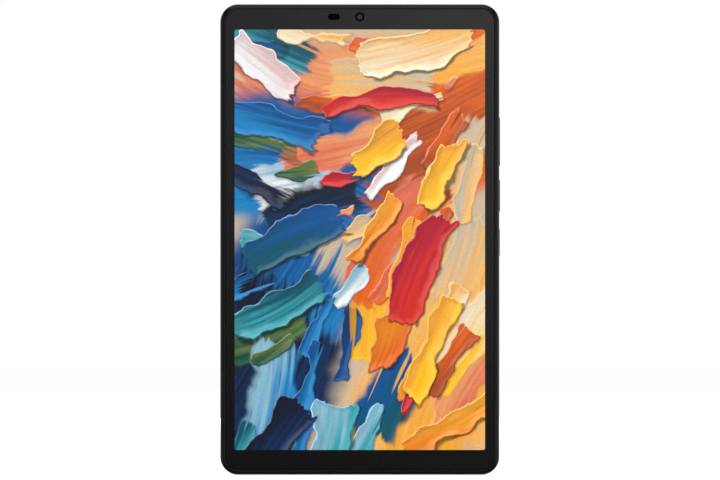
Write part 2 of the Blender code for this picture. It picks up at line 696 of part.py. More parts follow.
def drill(board, places):
    for number, (x, z) in enumerate(places):
        hole = circle(x * MM, z * MM, SCREW_HOLE_RADIUS, 12)
        tool = prism(f"{board.name}_hole_{number + 1}", hole, "Y", grown(BOARD_Y, 1 * MM), circuit_board())
        cut(board, tool)


def shield(name, x, z):
    """A sheet-metal can, open towards the board."""
    outside_y = (ON_BOARD_Y, ON_BOARD_Y + SHIELD_HEIGHT)
    outside = rectangle(x, z)
    inside = rectangle(grown(x, -SHIELD_SHEET), grown(z, -SHIELD_SHEET))
    can = [
        in_space(outside, "Y", outside_y[1]),
        in_space(outside, "Y", outside_y[0]),
        in_space(inside, "Y", outside_y[0]),
        in_space(inside, "Y", outside_y[1] - SHIELD_SHEET),
    ]
    finished(name, loft(can), steel())


def chips():
    y = (ON_BOARD_Y, ON_BOARD_Y + CHIP_HEIGHT)
    box("processor_chip", PROCESSOR_X, y, PROCESSOR_Z, chip_resin())
    box("storage_chip", STORAGE_X, y, STORAGE_Z, chip_resin())
    box("power_chip", POWER_CHIP_X, y, POWER_CHIP_Z, chip_resin())
    box("radio_chip", RADIO_X, y, RADIO_Z, chip_resin())


def usb_board():
    """The small board at the bottom edge, notched round the port."""
    notch_x = PORT_LENGTH / 2 + 0.4 * MM
    notch_z = PORT_Z[1] + 0.4 * MM
    outline = [
        (USB_BOARD_X[0], USB_BOARD_Z[0]),
        (-notch_x, USB_BOARD_Z[0]),
        (-notch_x, notch_z),
        (notch_x, notch_z),
        (notch_x, USB_BOARD_Z[0]),
        (USB_BOARD_X[1], USB_BOARD_Z[0]),
        (USB_BOARD_X[1], USB_BOARD_Z[1]),
        (USB_BOARD_X[0], USB_BOARD_Z[1]),
    ]
    board = prism("usb_board", outline, "Y", BOARD_Y, circuit_board())
    drill(board, USB_SCREWS)
    microphone_y = (ON_BOARD_Y, ON_BOARD_Y + MICROPHONE_SIZE[1])
    box("microphone", about(MICROPHONE_X, MICROPHONE_SIZE[0]), microphone_y, MICROPHONE_Z, steel())


def usb_port():
    """The port's steel shell, open to the bottom edge, and the tongue inside it."""
    outside = slot_outline(0, PORT_Y, PORT_LENGTH, PORT_WIDTH)
    inside = slot_outline(0, PORT_Y, PORT_LENGTH - 2 * PORT_SHELL, PORT_WIDTH - 2 * PORT_SHELL)
    floor_z = PORT_Z[1] - 0.8 * MM
    rings = [
        in_space(outside, "Z", PORT_Z[1]),
        in_space(outside, "Z", PORT_Z[0]),
        in_space(inside, "Z", PORT_Z[0]),
        in_space(inside, "Z", floor_z),
    ]
    finished("usb_c_shell", loft(rings), steel())
    tongue_z = (PORT_Z[0] + 0.8 * MM, floor_z - GAP)
    box("usb_c_tongue", TONGUE_X, about(PORT_Y, TONGUE_THICKNESS), tongue_z, black_plastic())


def headphone_jack():
    body_y = (PLATE_BACK_Y + GAP, COVER_FLOOR_Y - GAP)
    jack = box("headphone_jack", about(JACK_X, JACK_SIZE), body_y, JACK_Z, black_plastic())
    bore = circle(JACK_X, JACK_Y, JACK_BORE_RADIUS)
    depth = (JACK_Z[0] + JACK_END_WALL, JACK_Z[1] + 1 * MM)
    cut(jack, prism("jack_bore", bore, "Z", depth, black_plastic()))


def speaker(name, x, z, mesh_z):
    """A speaker's box, with a channel to its row of slots, and the dust mesh between them."""
    box_y = (BOARD_Y[0], SPEAKER_BACK_Y)
    body = box(name, x, box_y, z, black_plastic())
    middle = (x[0] + x[1]) / 2
    row = SLOT_COUNT * SLOT_PITCH
    near_edge = z[0] if mesh_z[0] < z[0] else z[1]
    channel = slot_outline(middle, SLOT_Y, row, SLOT_WIDTH + 0.6 * MM)
    channel_z = about(near_edge, 2 * SPEAKER_CHANNEL_DEPTH)
    cut(body, prism(f"{name}_channel", channel, "Z", channel_z, black_plastic()))
    mesh_y = about(SLOT_Y, SPEAKER_MESH_WIDTH)
    box(f"{name}_mesh", about(middle, row + 1 * MM), mesh_y, mesh_z, dark_metal())


def speakers():
    bottom_mesh = (COVER_WALL + GAP, COVER_WALL + GAP + SPEAKER_MESH)
    top_mesh = (BODY_HEIGHT - bottom_mesh[1], BODY_HEIGHT - bottom_mesh[0])
    speaker("bottom_speaker", BOTTOM_SPEAKER_X, BOTTOM_SPEAKER_Z, bottom_mesh)
    speaker("top_speaker", TOP_SPEAKER_X, TOP_SPEAKER_Z, top_mesh)


def battery():
    """The pouch cell, the tape that holds it to the frame, and its ribbon to the main board."""
    outline = rounded_rectangle(BATTERY_Y, BATTERY_Z, BATTERY_EDGE_RADIUS, 4)
    prism("battery", outline, "X", BATTERY_X, battery_foil())
    tape_x = grown(BATTERY_X, -BATTERY_TAPE_MARGIN)
    tape_z = grown(BATTERY_Z, -BATTERY_TAPE_MARGIN)
    box("battery_tape", tape_x, BATTERY_TAPE_Y, tape_z, rubber())
    ribbon_z = (BATTERY_Z[1] + 0.2 * MM, MAIN_STRIP_Z[0] + 4.0 * MM)
    box("battery_flex", BATTERY_FLEX_X, (ON_BOARD_Y, ON_BOARD_Y + 0.2 * MM), ribbon_z, flex_film())


def main_flex():
    """The long ribbon that joins the two boards, beside the battery."""
    x = (BATTERY_X[1] + 0.9 * MM, USB_BOARD_X[1] - 0.1 * MM)
    z = (USB_BOARD_Z[0] + 3.0 * MM, MAIN_COLUMN_Z[0] + 5.0 * MM)
    box("main_flex", x, (ON_BOARD_Y, ON_BOARD_Y + 0.15 * MM), z, flex_film())


def antennas():
    box("cellular_antenna", CELLULAR_ANTENNA_X, ANTENNA_Y, CELLULAR_ANTENNA_Z, flex_film())
    box("wifi_antenna", WIFI_ANTENNA_X, ANTENNA_Y, WIFI_ANTENNA_Z, flex_film())


def nub(name, z, reach):
    """A short round stud on the inside of a key's flange, which presses on a switch."""
    outline = circle(KEY_Y, z, NUB_RADIUS, 12)
    return prism(name, outline, "X", (reach, FLANGE_X[0] + 0.3 * MM), housing_plastic())


def key(name, z, length, origin, nubs):
    """A key: its flange inside the cover's wall and its cap through the opening."""
    face_x = SIDE_X + KEY_PROUD
    flange = key_outline(length + 2 * FLANGE_EXTRA, FLANGE_WIDTH, z)
    cap = key_outline(length, KEY_WIDTH, z)
    rings = [
        in_space(flange, "X", FLANGE_X[0]),
        in_space(flange, "X", FLANGE_X[1]),
        in_space(cap, "X", FLANGE_X[1]),
        in_space(cap, "X", face_x - KEY_EDGE),
        in_space(key_outline(length, KEY_WIDTH, z, 0.3 * KEY_EDGE), "X", face_x - 0.3 * KEY_EDGE),
        in_space(key_outline(length, KEY_WIDTH, z, KEY_EDGE), "X", face_x),
    ]
    made = finished(name, loft(rings), housing_plastic(), origin)
    for number, (offset, reach) in enumerate(nubs):
        join(made, nub(f"{name}_nub_{number + 1}", z + offset, reach))


def keys():
    rocker_nubs = [(-ROCKER_NUB_OFFSET, NUB_X), (ROCKER_NUB_OFFSET, NUB_X), (0.0, DOME_X[1])]
    key("volume_rocker", ROCKER_Z, ROCKER_LENGTH, (ROCKER_PIVOT_X, KEY_Y, ROCKER_Z), rocker_nubs)
    key("power_button", POWER_Z, POWER_LENGTH, (FLANGE_X[0], KEY_Y, POWER_Z), [(0.0, NUB_X)])


def dome(name, z):
    """The snap dome of one switch."""
    middle_x = (DOME_X[0] + DOME_X[1]) / 2
    profile = [(DOME_RADIUS, DOME_X[0]), (0.85 * DOME_RADIUS, middle_x), (0.4 * DOME_RADIUS, DOME_X[1])]
    turned(name, KEY_Y, z, "X", profile, steel())


def key_switches():
    """The key ribbon with its three domes, and the steel bracket behind it."""
    dome("volume_up_dome", ROCKER_Z + ROCKER_NUB_OFFSET)
    dome("volume_down_dome", ROCKER_Z - ROCKER_NUB_OFFSET)
    dome("power_dome", POWER_Z)
    strip = box("key_flex", KEY_FLEX_X, about(KEY_Y, KEY_STRIP_WIDTH), KEY_STRIP_Z, flex_film())
    tail_x = (BRACKET_FOOT_X - 3.0 * MM, KEY_FLEX_X[1] - 0.03 * MM)
    join(strip, box("key_flex_tail", tail_x, KEY_TAIL_Y, KEY_TAIL_Z, flex_film()))
    sheet = BRACKET_X[1] - BRACKET_X[0]
    web_y = (BOARD_Y[0] + GAP, BRACKET_TOP_Y)
    outline = [
        (BRACKET_X[1], web_y[0]),
        (BRACKET_X[1], web_y[1]),
        (BRACKET_FOOT_X, web_y[1]),
        (BRACKET_FOOT_X, web_y[1] - sheet),
        (BRACKET_X[0], web_y[1] - sheet),
        (BRACKET_X[0], web_y[0]),
    ]
    bracket = prism("key_bracket", outline, "Z", grown(KEY_STRIP_Z, 1 * MM), steel())
    passage_x = (BRACKET_X[0] - 0.5 * MM, BRACKET_X[1] + 0.5 * MM)
    passage_z = grown(KEY_TAIL_Z, 0.3 * MM)
    cut(bracket, box("tail_passage", passage_x, grown(KEY_TAIL_Y, HOLE_CLEARANCE), passage_z, steel()))


def card_tray():
    """The tray: a head that closes the opening, a neck for the seal and a frame for the card."""
    origin = (TRAY_BODY_X[0], KEY_Y, TRAY_Z)
    body_z = about(TRAY_Z, TRAY_BODY_LENGTH)
    face_x = TRAY_HEAD_X[1]
    head = [
        in_space(key_outline(TRAY_LENGTH, KEY_WIDTH, TRAY_Z), "X", TRAY_HEAD_X[0]),
        in_space(key_outline(TRAY_LENGTH, KEY_WIDTH, TRAY_Z), "X", face_x - KEY_EDGE),
        in_space(key_outline(TRAY_LENGTH, KEY_WIDTH, TRAY_Z, 0.3 * KEY_EDGE), "X", face_x - 0.3 * KEY_EDGE),
        in_space(key_outline(TRAY_LENGTH, KEY_WIDTH, TRAY_Z, KEY_EDGE), "X", face_x),
    ]
    tray = finished("card_tray", loft(head), housing_plastic(), origin)
    neck = key_outline(TRAY_NECK_LENGTH, TRAY_NECK_WIDTH, TRAY_Z)
    join(tray, prism("tray_neck", neck, "X", TRAY_NECK_X, housing_plastic()))
    join(tray, box("tray_frame", TRAY_BODY_X, TRAY_BODY_Y, body_z, housing_plastic()))
    recess_y = (TRAY_BODY_Y[0] + CARD_FLOOR, TRAY_BODY_Y[1] + 1 * MM)
    recess = box("card_recess", CARD_X, recess_y, about(TRAY_Z, CARD_WIDTH), housing_plastic())
    cut(tray, recess)
    window_y = grown(TRAY_BODY_Y, 1 * MM)
    window_z = about(TRAY_Z, CONTACT_WINDOW_LENGTH)
    cut(tray, box("contact_window", CONTACT_WINDOW_X, window_y, window_z, housing_plastic()))


def tray_gasket():
    """The rubber ring round the tray's neck."""
    span = (TRAY_BODY_X[1] + 0.1 * MM, TRAY_HEAD_X[0] - 0.05 * MM)
    inside = key_outline(TRAY_NECK_LENGTH + 0.2 * MM, TRAY_NECK_WIDTH + 0.2 * MM, TRAY_Z)
    outside = key_outline(TRAY_LENGTH - 0.1 * MM, KEY_WIDTH - 0.1 * MM, TRAY_Z)
    rings = [in_space(outside, "X", x) for x in span] + [in_space(inside, "X", x) for x in reversed(span)]
    finished("tray_gasket", loft(rings, joined=True), rubber(), (span[0], KEY_Y, TRAY_Z))


def card_socket():
    """A sheet-metal cage over the tray's frame, with a side channel that guides the eject rod."""
    half = TRAY_BODY_LENGTH / 2 + 0.4 * MM
    first, middle = TRAY_Z - half, TRAY_Z + half
    last = ROD_Z + ROD_RADIUS + 0.4 * MM
    foot, roof, top = ON_BOARD_Y, SOCKET_TOP_Y[0], SOCKET_TOP_Y[1]
    outline = [
        (foot, first - SOCKET_WALL),
        (top, first - SOCKET_WALL),
        (top, last + SOCKET_WALL),
        (foot, last + SOCKET_WALL),
        (foot, last),
        (roof, last),
        (roof, middle + SOCKET_WALL),
        (foot, middle + SOCKET_WALL),
        (foot, middle),
        (roof, middle),
        (roof, first),
        (foot, first),
    ]
    prism("card_socket", outline, "X", SOCKET_X, steel())


def eject_parts():
    """The rod that the pin pushes in, and the lever that turns the push outwards."""
    rod = [(ROD_RADIUS, x) for x in ROD_X]
    turned("eject_rod", KEY_Y, ROD_Z, "X", rod, steel(), origin=(ROD_X[0], KEY_Y, ROD_Z))
    middle_x = (LEVER_X[0] + LEVER_X[1]) / 2
    origin = (middle_x, KEY_Y, LEVER_PIVOT_Z)
    lever = box("eject_lever", LEVER_X, LEVER_Y, LEVER_Z, steel(), origin)
    pivot = circle(middle_x, LEVER_PIVOT_Z, LEVER_PIVOT_RADIUS)
    join(lever, prism("lever_boss", pivot, "Y", (ON_BOARD_Y + GAP, LEVER_BOSS_TOP_Y), steel()))


def screws():
    """Pan-head screws through the boards into the middle frame."""
    for number, (x, z) in enumerate(MAIN_SCREWS + USB_SCREWS):
        profile = [
            (SCREW_SHANK_RADIUS, PLATE_Y[0] + 0.15 * MM),
            (SCREW_SHANK_RADIUS, ON_BOARD_Y),
            (SCREW_HEAD_RADIUS, ON_BOARD_Y),
            (SCREW_HEAD_RADIUS, ON_BOARD_Y + 0.6 * SCREW_HEAD_HEIGHT),
            (0.75 * SCREW_HEAD_RADIUS, ON_BOARD_Y + SCREW_HEAD_HEIGHT),
        ]
        rings = [in_space(circle(x * MM, z * MM, radius, 12), "Y", y) for radius, y in profile]
        finished(f"screw_{number + 1}", loft(rings), steel())


def build():
    for old in list(bpy.data.objects):
        bpy.data.objects.remove(old)
    rear_cover()
    mid_frame()
    cover_glass()
    glass_tape()
    display_sheets()
    backlight()
    display_flex()
    front_camera()
    light_sensor()
    rear_camera()
    main_board()
    shield("processor_shield", PROCESSOR_SHIELD_X, PROCESSOR_SHIELD_Z)
    shield("radio_shield", RADIO_SHIELD_X, RADIO_SHIELD_Z)
    chips()
    usb_board()
    usb_port()
    headphone_jack()
    speakers()
    battery()
    main_flex()
    antennas()
    keys()
    key_switches()
    card_tray()
    tray_gasket()
    card_socket()
    eject_parts()
    screws()


build()
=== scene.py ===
# The looks of an 8.7-inch tablet computer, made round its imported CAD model. Units are metres.
# +Z runs to the top edge, -Y is the way the screen faces, and +X is the side with the keys.

import json
import math
import random

import bmesh
import bpy
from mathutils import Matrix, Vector


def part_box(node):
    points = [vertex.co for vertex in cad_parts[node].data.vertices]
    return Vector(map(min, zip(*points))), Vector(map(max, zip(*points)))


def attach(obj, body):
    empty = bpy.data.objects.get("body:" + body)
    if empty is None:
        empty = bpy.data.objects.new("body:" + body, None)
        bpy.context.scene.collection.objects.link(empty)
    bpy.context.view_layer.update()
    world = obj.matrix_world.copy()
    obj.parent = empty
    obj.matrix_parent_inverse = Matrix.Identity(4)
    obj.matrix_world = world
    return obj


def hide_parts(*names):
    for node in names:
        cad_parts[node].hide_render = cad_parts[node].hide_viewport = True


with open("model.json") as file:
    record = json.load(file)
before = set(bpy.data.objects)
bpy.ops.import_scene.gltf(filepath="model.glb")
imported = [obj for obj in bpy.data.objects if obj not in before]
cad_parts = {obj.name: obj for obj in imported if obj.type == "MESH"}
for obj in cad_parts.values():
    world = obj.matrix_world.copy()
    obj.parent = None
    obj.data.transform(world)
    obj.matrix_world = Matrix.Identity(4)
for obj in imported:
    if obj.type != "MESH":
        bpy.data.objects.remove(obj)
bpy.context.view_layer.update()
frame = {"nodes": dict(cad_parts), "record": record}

MM = 0.001

# ---- places that come from the frame

SIDE_X, BACK_Y, TOP_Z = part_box("rear_cover")[1]
GLASS_LOW, GLASS_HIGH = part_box("cover_glass")
FRONT_Y = GLASS_LOW.y
GLASS_INSET = SIDE_X - GLASS_HIGH.x


def middle(node):
    low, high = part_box(node)
    return (low + high) / 2


FRONT_CAMERA = middle("front_camera_lens")
SENSOR = middle("light_sensor")
REAR_CAMERA = middle("rear_camera_window")
KEY_Y = middle("power_button").y

# Faces with openings: the axis across each, its place along that axis, and the way out
KEY_FACE = ("X", SIDE_X, 1)
TOP_FACE = ("Z", TOP_Z, 1)
BOTTOM_FACE = ("Z", 0.0, -1)

# ---- sizes of the visible shapes

CORNER_RADIUS = 8.0 * MM
CORNER_STEPS = 24
SHARP_ANGLE = math.radians(40)

# The housing, whose front edge is the first part of a quarter of an ellipse that would end at FRONT_EDGE_Y
EDGE_STEPS = 12
BACK_EDGE_RADIUS = 3.0 * MM
FRONT_EDGE_Y = -4.2 * MM
FRONT_EDGE_WIDTH = 1.9 * MM
FRONT_EDGE_DEPTH = 3.7 * MM
FRONT_EDGE_TURN = 70.0
LIP_Y = FRONT_Y + 0.3 * MM
LIP_CHAMFER_END = 1.45 * MM
WALL = 1.55 * MM
FLOOR_Y = BACK_Y - 1.2 * MM
INNER_CHAMFER = 0.9 * MM

GLASS_EDGE_WIDTH = 0.45 * MM
GLASS_EDGE_DEPTH = 0.30 * MM

# The openings in the housing
MOUTH_FLARE = 0.12 * MM
EJECT_HOLE_RADIUS = 0.5 * MM
SOUND_HOLE_RADIUS = 0.45 * MM
JACK_RADIUS = 1.8 * MM
JACK_Y = 1.1 * MM
PORT_Y = 0.9 * MM
PORT_GAP = 0.3 * MM
SLOT_COUNT = 5
SLOT_PITCH = 3.8 * MM
SLOT_LENGTH = 2.6 * MM
SLOT_WIDTH = 1.1 * MM
SLOT_Y = 0.9 * MM
REAR_CAMERA_HOLE_RADIUS = 5.5 * MM

# How long the caps of the keys and the head of the tray are along Z, which are the parts that show
HEAD_LENGTHS = {"volume_rocker": 21.8 * MM, "power_button": 14.1 * MM, "card_tray": 12.1 * MM}
KEY_WIDTH = 2.1 * MM
KEY_CLEARANCE = 0.15 * MM
KEY_EDGE = 0.3 * MM
KEY_FLANGE_X = (60.1 * MM, 60.7 * MM)
KEY_FLANGE_WIDTH = 2.5 * MM
KEY_FLANGE_MARGIN = 1.0 * MM
# Each stud: its place along the key, and how far it stops short of the key's innermost point
ROCKER_STUDS = ((-7.5 * MM, 0.28 * MM), (0.0, 0.0), (7.5 * MM, 0.28 * MM))
POWER_STUDS = ((0.0, 0.0),)
STUD_RADIUS = 0.6 * MM
STUD_OVERLAP = 0.3 * MM

TRAY_HEAD_X = 61.9 * MM
TRAY_NECK_X = (61.0 * MM, 62.2 * MM)
TRAY_NECK_LENGTH = 10.6 * MM
TRAY_NECK_WIDTH = 1.1 * MM
TRAY_CARRIER_END_X = 61.2 * MM
# Slabs of the tray: length along Z, corner radius, and span along Y
TRAY_CARRIER = (11.7 * MM, 0.8 * MM, (0.35 * MM, 1.15 * MM))
TRAY_RECESS = (10.9 * MM, 0.6 * MM, (0.6 * MM, 2.15 * MM))
TRAY_WINDOW = (8.0 * MM, 0.5 * MM, (-0.5 * MM, 2.0 * MM))
TRAY_RECESS_X = (45.2 * MM, 60.3 * MM)
TRAY_WINDOW_X = (46.5 * MM, 52.0 * MM)

# The seal, with two lips: shares of its length along X, and how many millimetres it draws in there
SEAL_PROFILE = ((0.0, 0.12), (0.15, 0.0), (0.35, 0.0), (0.5, 0.14), (0.65, 0.0), (0.85, 0.0), (1.0, 0.12))
SEAL_BORE_LENGTH = 10.8 * MM
SEAL_BORE_WIDTH = 1.3 * MM

# The lit picture: its spans, and in millimetres its corner radius, width and height
PICTURE_X = (-56.5 * MM, 56.5 * MM)
PICTURE_Z = (10.95 * MM, 200.3 * MM)
PICTURE_CORNER = 1.2
PICTURE_WIDTH = (PICTURE_X[1] - PICTURE_X[0]) / MM
PICTURE_HEIGHT = (PICTURE_Z[1] - PICTURE_Z[0]) / MM
PICTURE_BRIGHTNESS = 1.0
PICTURE_SEED = 5
LIGHT_DIRECTION = math.radians(118)  # of the light on the paint, from the right-hand side upwards

# Windows in the printed border, in millimetres
CAMERA_WINDOW_RADIUS = 2.1
SENSOR_WINDOW = (5.5, 2.9)


# ---- shapes


def grown(span, by):
    return (span[0] - by, span[1] + by)


def about(centre, size):
    return (centre - size / 2, centre + size / 2)


def arc(centre_a, centre_b, radius, turn, steps, start=0):
    """Points along an arc, from a start through a turn in degrees, in equal steps and with both ends."""
    points = []
    for step in range(steps + 1):
        angle = math.radians(start + turn * step / steps)
        points.append((centre_a + radius * math.cos(angle), centre_b + radius * math.sin(angle)))
    return points


def soft_edge(width, depth, turn=90, steps=6):
    """How far in and how deep the points of a rounded edge lie, from the side towards the face."""
    return [(width * (1 - a), depth * (1 - b)) for a, b in arc(0, 0, 1, turn, steps)]


def rounded_rectangle(first, second, radius, steps):
    """A rectangle over two spans, with its four corners rounded."""
    corners = (
        (first[1] - radius, second[1] - radius, 0),
        (first[0] + radius, second[1] - radius, 90),
        (first[0] + radius, second[0] + radius, 180),
        (first[1] - radius, second[0] + radius, 270),
    )
    points = []
    for centre_a, centre_b, start in corners:
        points += arc(centre_a, centre_b, radius, 90, steps, start)
    return points


def circle(centre_a, centre_b, radius, segments=64):
    return arc(centre_a, centre_b, radius, 360, segments)[:-1]


def body_outline(inset):
    """The body's outline, moved inwards, as (x, z)."""
    x = (-SIDE_X + inset, SIDE_X - inset)
    return rounded_rectangle(x, (inset, TOP_Z - inset), max(CORNER_RADIUS - inset, 0.5 * MM), CORNER_STEPS)


def key_outline(z_span, inset=0.0, width=KEY_WIDTH):
    """A key's or a tray's outline, seen from the +X side, as (y, z)."""
    y = grown(about(KEY_Y, width), -inset)
    radius = min(width * 0.42, (y[1] - y[0]) * 0.49)
    return rounded_rectangle(y, grown(z_span, -inset), radius, 10)


def slot_outline(x, y, length, width):
    """A slot with round ends, seen along Z, as (x, y)."""
    return rounded_rectangle(about(x, length), about(y, width), width * 0.49, 10)


def in_space(outline, axis, at):
    """An outline's points in the plane across an axis, at a place along it."""
    if axis == "X":
        return [(at, a, b) for a, b in outline]
    if axis == "Y":
        return [(a, at, b) for a, b in outline]
    return [(a, b, at) for a, b in outline]


def loft(rings, joined=False):
    """A skin over rings of equal length. Its ends are capped, or joined to each other."""
    shape = bmesh.new()
    loops = [[shape.verts.new(point) for point in ring] for ring in rings]
    pairs = list(zip(loops, loops[1:]))
    if joined:
        pairs.append((loops[-1], loops[0]))
    else:
        shape.faces.new(loops[0])
        shape.faces.new(loops[-1])
    for first, second in pairs:
        for i, vertex in enumerate(first):
            j = (i + 1) % len(first)
            shape.faces.new((vertex, first[j], second[j], second[i]))
    bmesh.ops.recalc_face_normals(shape, faces=shape.faces)
    return shape


def prism(outline, axis, span):
    """A straight solid with one outline, over a span along an axis."""
    return loft([in_space(outline, axis, at) for at in span])


def placed(name, data):
    made = bpy.data.objects.new(name, data)
    bpy.context.scene.collection.objects.link(made)
    return made


def object_of(name, shape):
    mesh = bpy.data.meshes.new(name)
    shape.to_mesh(mesh)
    shape.free()
    return placed(name, mesh)


def carve(target, shapes, operation="DIFFERENCE"):
    """Cuts shapes out of a target, or joins them on, and keeps the result as the target's mesh."""
    tools = [object_of(f"tool_{number}", shape) for number, shape in enumerate(shapes)]
    for tool in tools:
        step = target.modifiers.new(tool.name, "BOOLEAN")
        step.operation = operation
        step.solver = "EXACT"
        step.object = tool
    result = bpy.data.meshes.new_from_object(target.evaluated_get(bpy.context.evaluated_depsgraph_get()))
    target.modifiers.clear()
    old = target.data
    target.data = result
    bpy.data.meshes.remove(old)
    result.name = target.name
    for tool in tools:
        bpy.data.objects.remove(tool)


def weight_normals(piece):
    weights = piece.modifiers.new("weighted_normals", "WEIGHTED_NORMAL")
    weights.keep_sharp = True


def paint(look, *nodes):
    """Gives CAD pieces a material."""
    for node in nodes:
        mesh = frame["nodes"][node].data
        mesh.materials.clear()
        mesh.materials.append(look)


def dress(piece, look, body, slot, *replaced):
    """Smooths a piece, gives it its material, and ties it to its body and its CAD nodes."""
    piece.data.shade_smooth()
    piece.data.set_sharp_from_angle(angle=SHARP_ANGLE)
    piece.data.materials.clear()
    piece.data.materials.append(look)
    weight_normals(piece)
    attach(piece, body)
    if replaced:
        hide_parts(*replaced)


def turned(name, centre, profile, joined=False, segments=64):
    """A round piece about the line along Y through a centre. Its profile is a list of (radius, y)."""
    rings = [in_space(circle(centre.x, centre.z, radius, segments), "Y", y) for radius, y in profile]
    return object_of(name, loft(rings, joined))


# ---- node trees


def operation_method(operation):
    """A wire's method that adds the node for one operation."""

    def method(self, *others):
        return self.nodes.work_out(operation, self, *others)

    return method


class Wire:
    """A node's output. Arithmetic on wires, numbers and tuples adds the nodes that do it."""

    def __init__(self, nodes, socket):
        self.nodes = nodes
        self.socket = socket
        self.is_vector = socket.type in ("VECTOR", "RGBA")

    __add__ = operation_method("ADD")
    __sub__ = operation_method("SUBTRACT")
    __mul__ = operation_method("MULTIPLY")
    __truediv__ = operation_method("DIVIDE")
    __pow__ = operation_method("POWER")
    __abs__ = operation_method("ABSOLUTE")
    sign = operation_method("SIGN")
    sine = operation_method("SINE")
    length = operation_method("LENGTH")
    at_least = operation_method("MAXIMUM")
    at_most = operation_method("MINIMUM")
    smooth_max = operation_method("SMOOTH_MAX")
    times_plus = operation_method("MULTIPLY_ADD")

    def __rsub__(self, other):
        return self.nodes.work_out("SUBTRACT", other, self)

    def waves(self, pitch):
        """A sine wave that repeats at a pitch."""
        return (self * (2 * math.pi / pitch)).sine()

    def step(self, low, high, to_low=0.0, to_high=1.0, smooth=True):
        """Goes from one level to another as the wire goes from low to high, and stays level beyond."""
        inputs = {"Value": self, 1: low, 2: high, 3: to_low, 4: to_high}
        settings = {"interpolation_type": "SMOOTHSTEP" if smooth else "LINEAR", "clamp": not smooth}
        return self.nodes.wire("ShaderNodeMapRange", inputs, "Result", **settings)

    def spun(self, angle):
        """A vector turned about Z."""
        inputs = {"Vector": self, "Angle": angle}
        return self.nodes.wire("ShaderNodeVectorRotate", inputs, rotation_type="Z_AXIS")

    def parts(self):
        """A vector's x, y and z."""
        return self.nodes.wires("ShaderNodeSeparateXYZ", {0: self})


class Nodes:
    """A tree of nodes, with short ways to add to it. What feeds a node is a wire, a number or a tuple."""

    def __init__(self, tree):
        self.tree = tree

    def feed(self, node, inputs):
        for name, value in inputs.items():
            if isinstance(value, Wire):
                self.tree.links.new(value.socket, node.inputs[name])
            else:
                node.inputs[name].default_value = value

    def add(self, kind, inputs, **settings):
        node = self.tree.nodes.new(kind)
        for key, value in settings.items():
            setattr(node, key, value)
        self.feed(node, inputs)
        return node

    def wire(self, kind, inputs, output=0, **settings):
        return Wire(self, self.add(kind, inputs, **settings).outputs[output])

    def wires(self, kind, inputs):
        return [Wire(self, socket) for socket in self.add(kind, inputs).outputs]

    def work_out(self, operation, *values):
        """Adds the Math node for an operation, or the Vector Math node where a vector takes part."""
        vectors = [getattr(value, "is_vector", isinstance(value, tuple)) for value in values]
        if not any(vectors):
            return self.wire("ShaderNodeMath", dict(enumerate(values)), operation=operation)
        kind = "ShaderNodeVectorMath"
        if operation == "MULTIPLY" and not all(vectors):
            return self.wire(kind, {"Vector": values[0], "Scale": values[1]}, operation="SCALE")
        output = "Value" if operation == "LENGTH" else "Vector"
        return self.wire(kind, dict(enumerate(values)), output, operation=operation)

    def mix(self, factor, first, second):
        """Mixes two colours that are kept as vectors."""
        return self.wire("ShaderNodeMix", {"Factor": factor, 4: first, 5: second}, 1, data_type="VECTOR")

    def blend(self, factor, first, second):
        """Mixes two colours, each a wire or a tuple of red, green and blue."""
        first, second = [value if isinstance(value, Wire) else (*value, 1.0) for value in (first, second)]
        return self.wire("ShaderNodeMix", {"Factor": factor, 6: first, 7: second}, 2, data_type="RGBA")

    def noise(self, place, scale, detail=2.0, roughness=0.5, output="Fac", dimensions="3D"):
        inputs = {"Vector": place, "Scale": scale, "Detail": detail, "Roughness": roughness}
        return self.wire("ShaderNodeTexNoise", inputs, output, noise_dimensions=dimensions)

    def join(self, x, y, z=0.0):
        return self.wire("ShaderNodeCombineXYZ", {0: x, 1: y, 2: z})

    def here(self):
        """The place on the object, in metres of the shared frame."""
        return self.wire("ShaderNodeTexCoord", {}, "Object")

    def flat_here(self):
        """The place across the front or the back, as x and z in millimetres."""
        x, _, z = self.here().parts()
        return self.join(x * (1 / MM), z * (1 / MM))

    def flat_from(self, centre):
        """The place across the front or the back, as x and z from a centre in metres."""
        x, _, z = self.here().parts()
        return self.join(x - centre.x, z - centre.z)


class Look(Nodes):
    """A new material, as the nodes round its Principled shader."""

    def __init__(self, name):
        self.material = bpy.data.materials.new(name)
        self.material.use_nodes = True
        super().__init__(self.material.node_tree)
        self.shader = self.tree.nodes["Principled BSDF"]

    def finish(self, colour, roughness, others=None, relief=None, depth=0.0, strength=1.0):
        """Feeds the shader, with a relief of some depth where one is given, and returns the material."""
        self.feed(self.shader, {"Base Color": colour, "Roughness": roughness, **(others or {})})
        if relief is not None:
            inputs = {"Height": relief, "Distance": depth, "Strength": strength}
            self.feed(self.shader, {"Normal": self.wire("ShaderNodeBump", inputs, "Normal")})
        return self.material


def grey(level):
    return (level, level, level)


def linear(red, green, blue):
    """A display colour, from 0 to 255, as the linear colour that the shaders work in."""
    levels = []
    for level in (red, green, blue):
        share = level / 255
        levels.append(share / 12.92 if share <= 0.04045 else ((share + 0.055) / 1.055) ** 2.4)
    return tuple(levels)


# ---- the picture on the screen

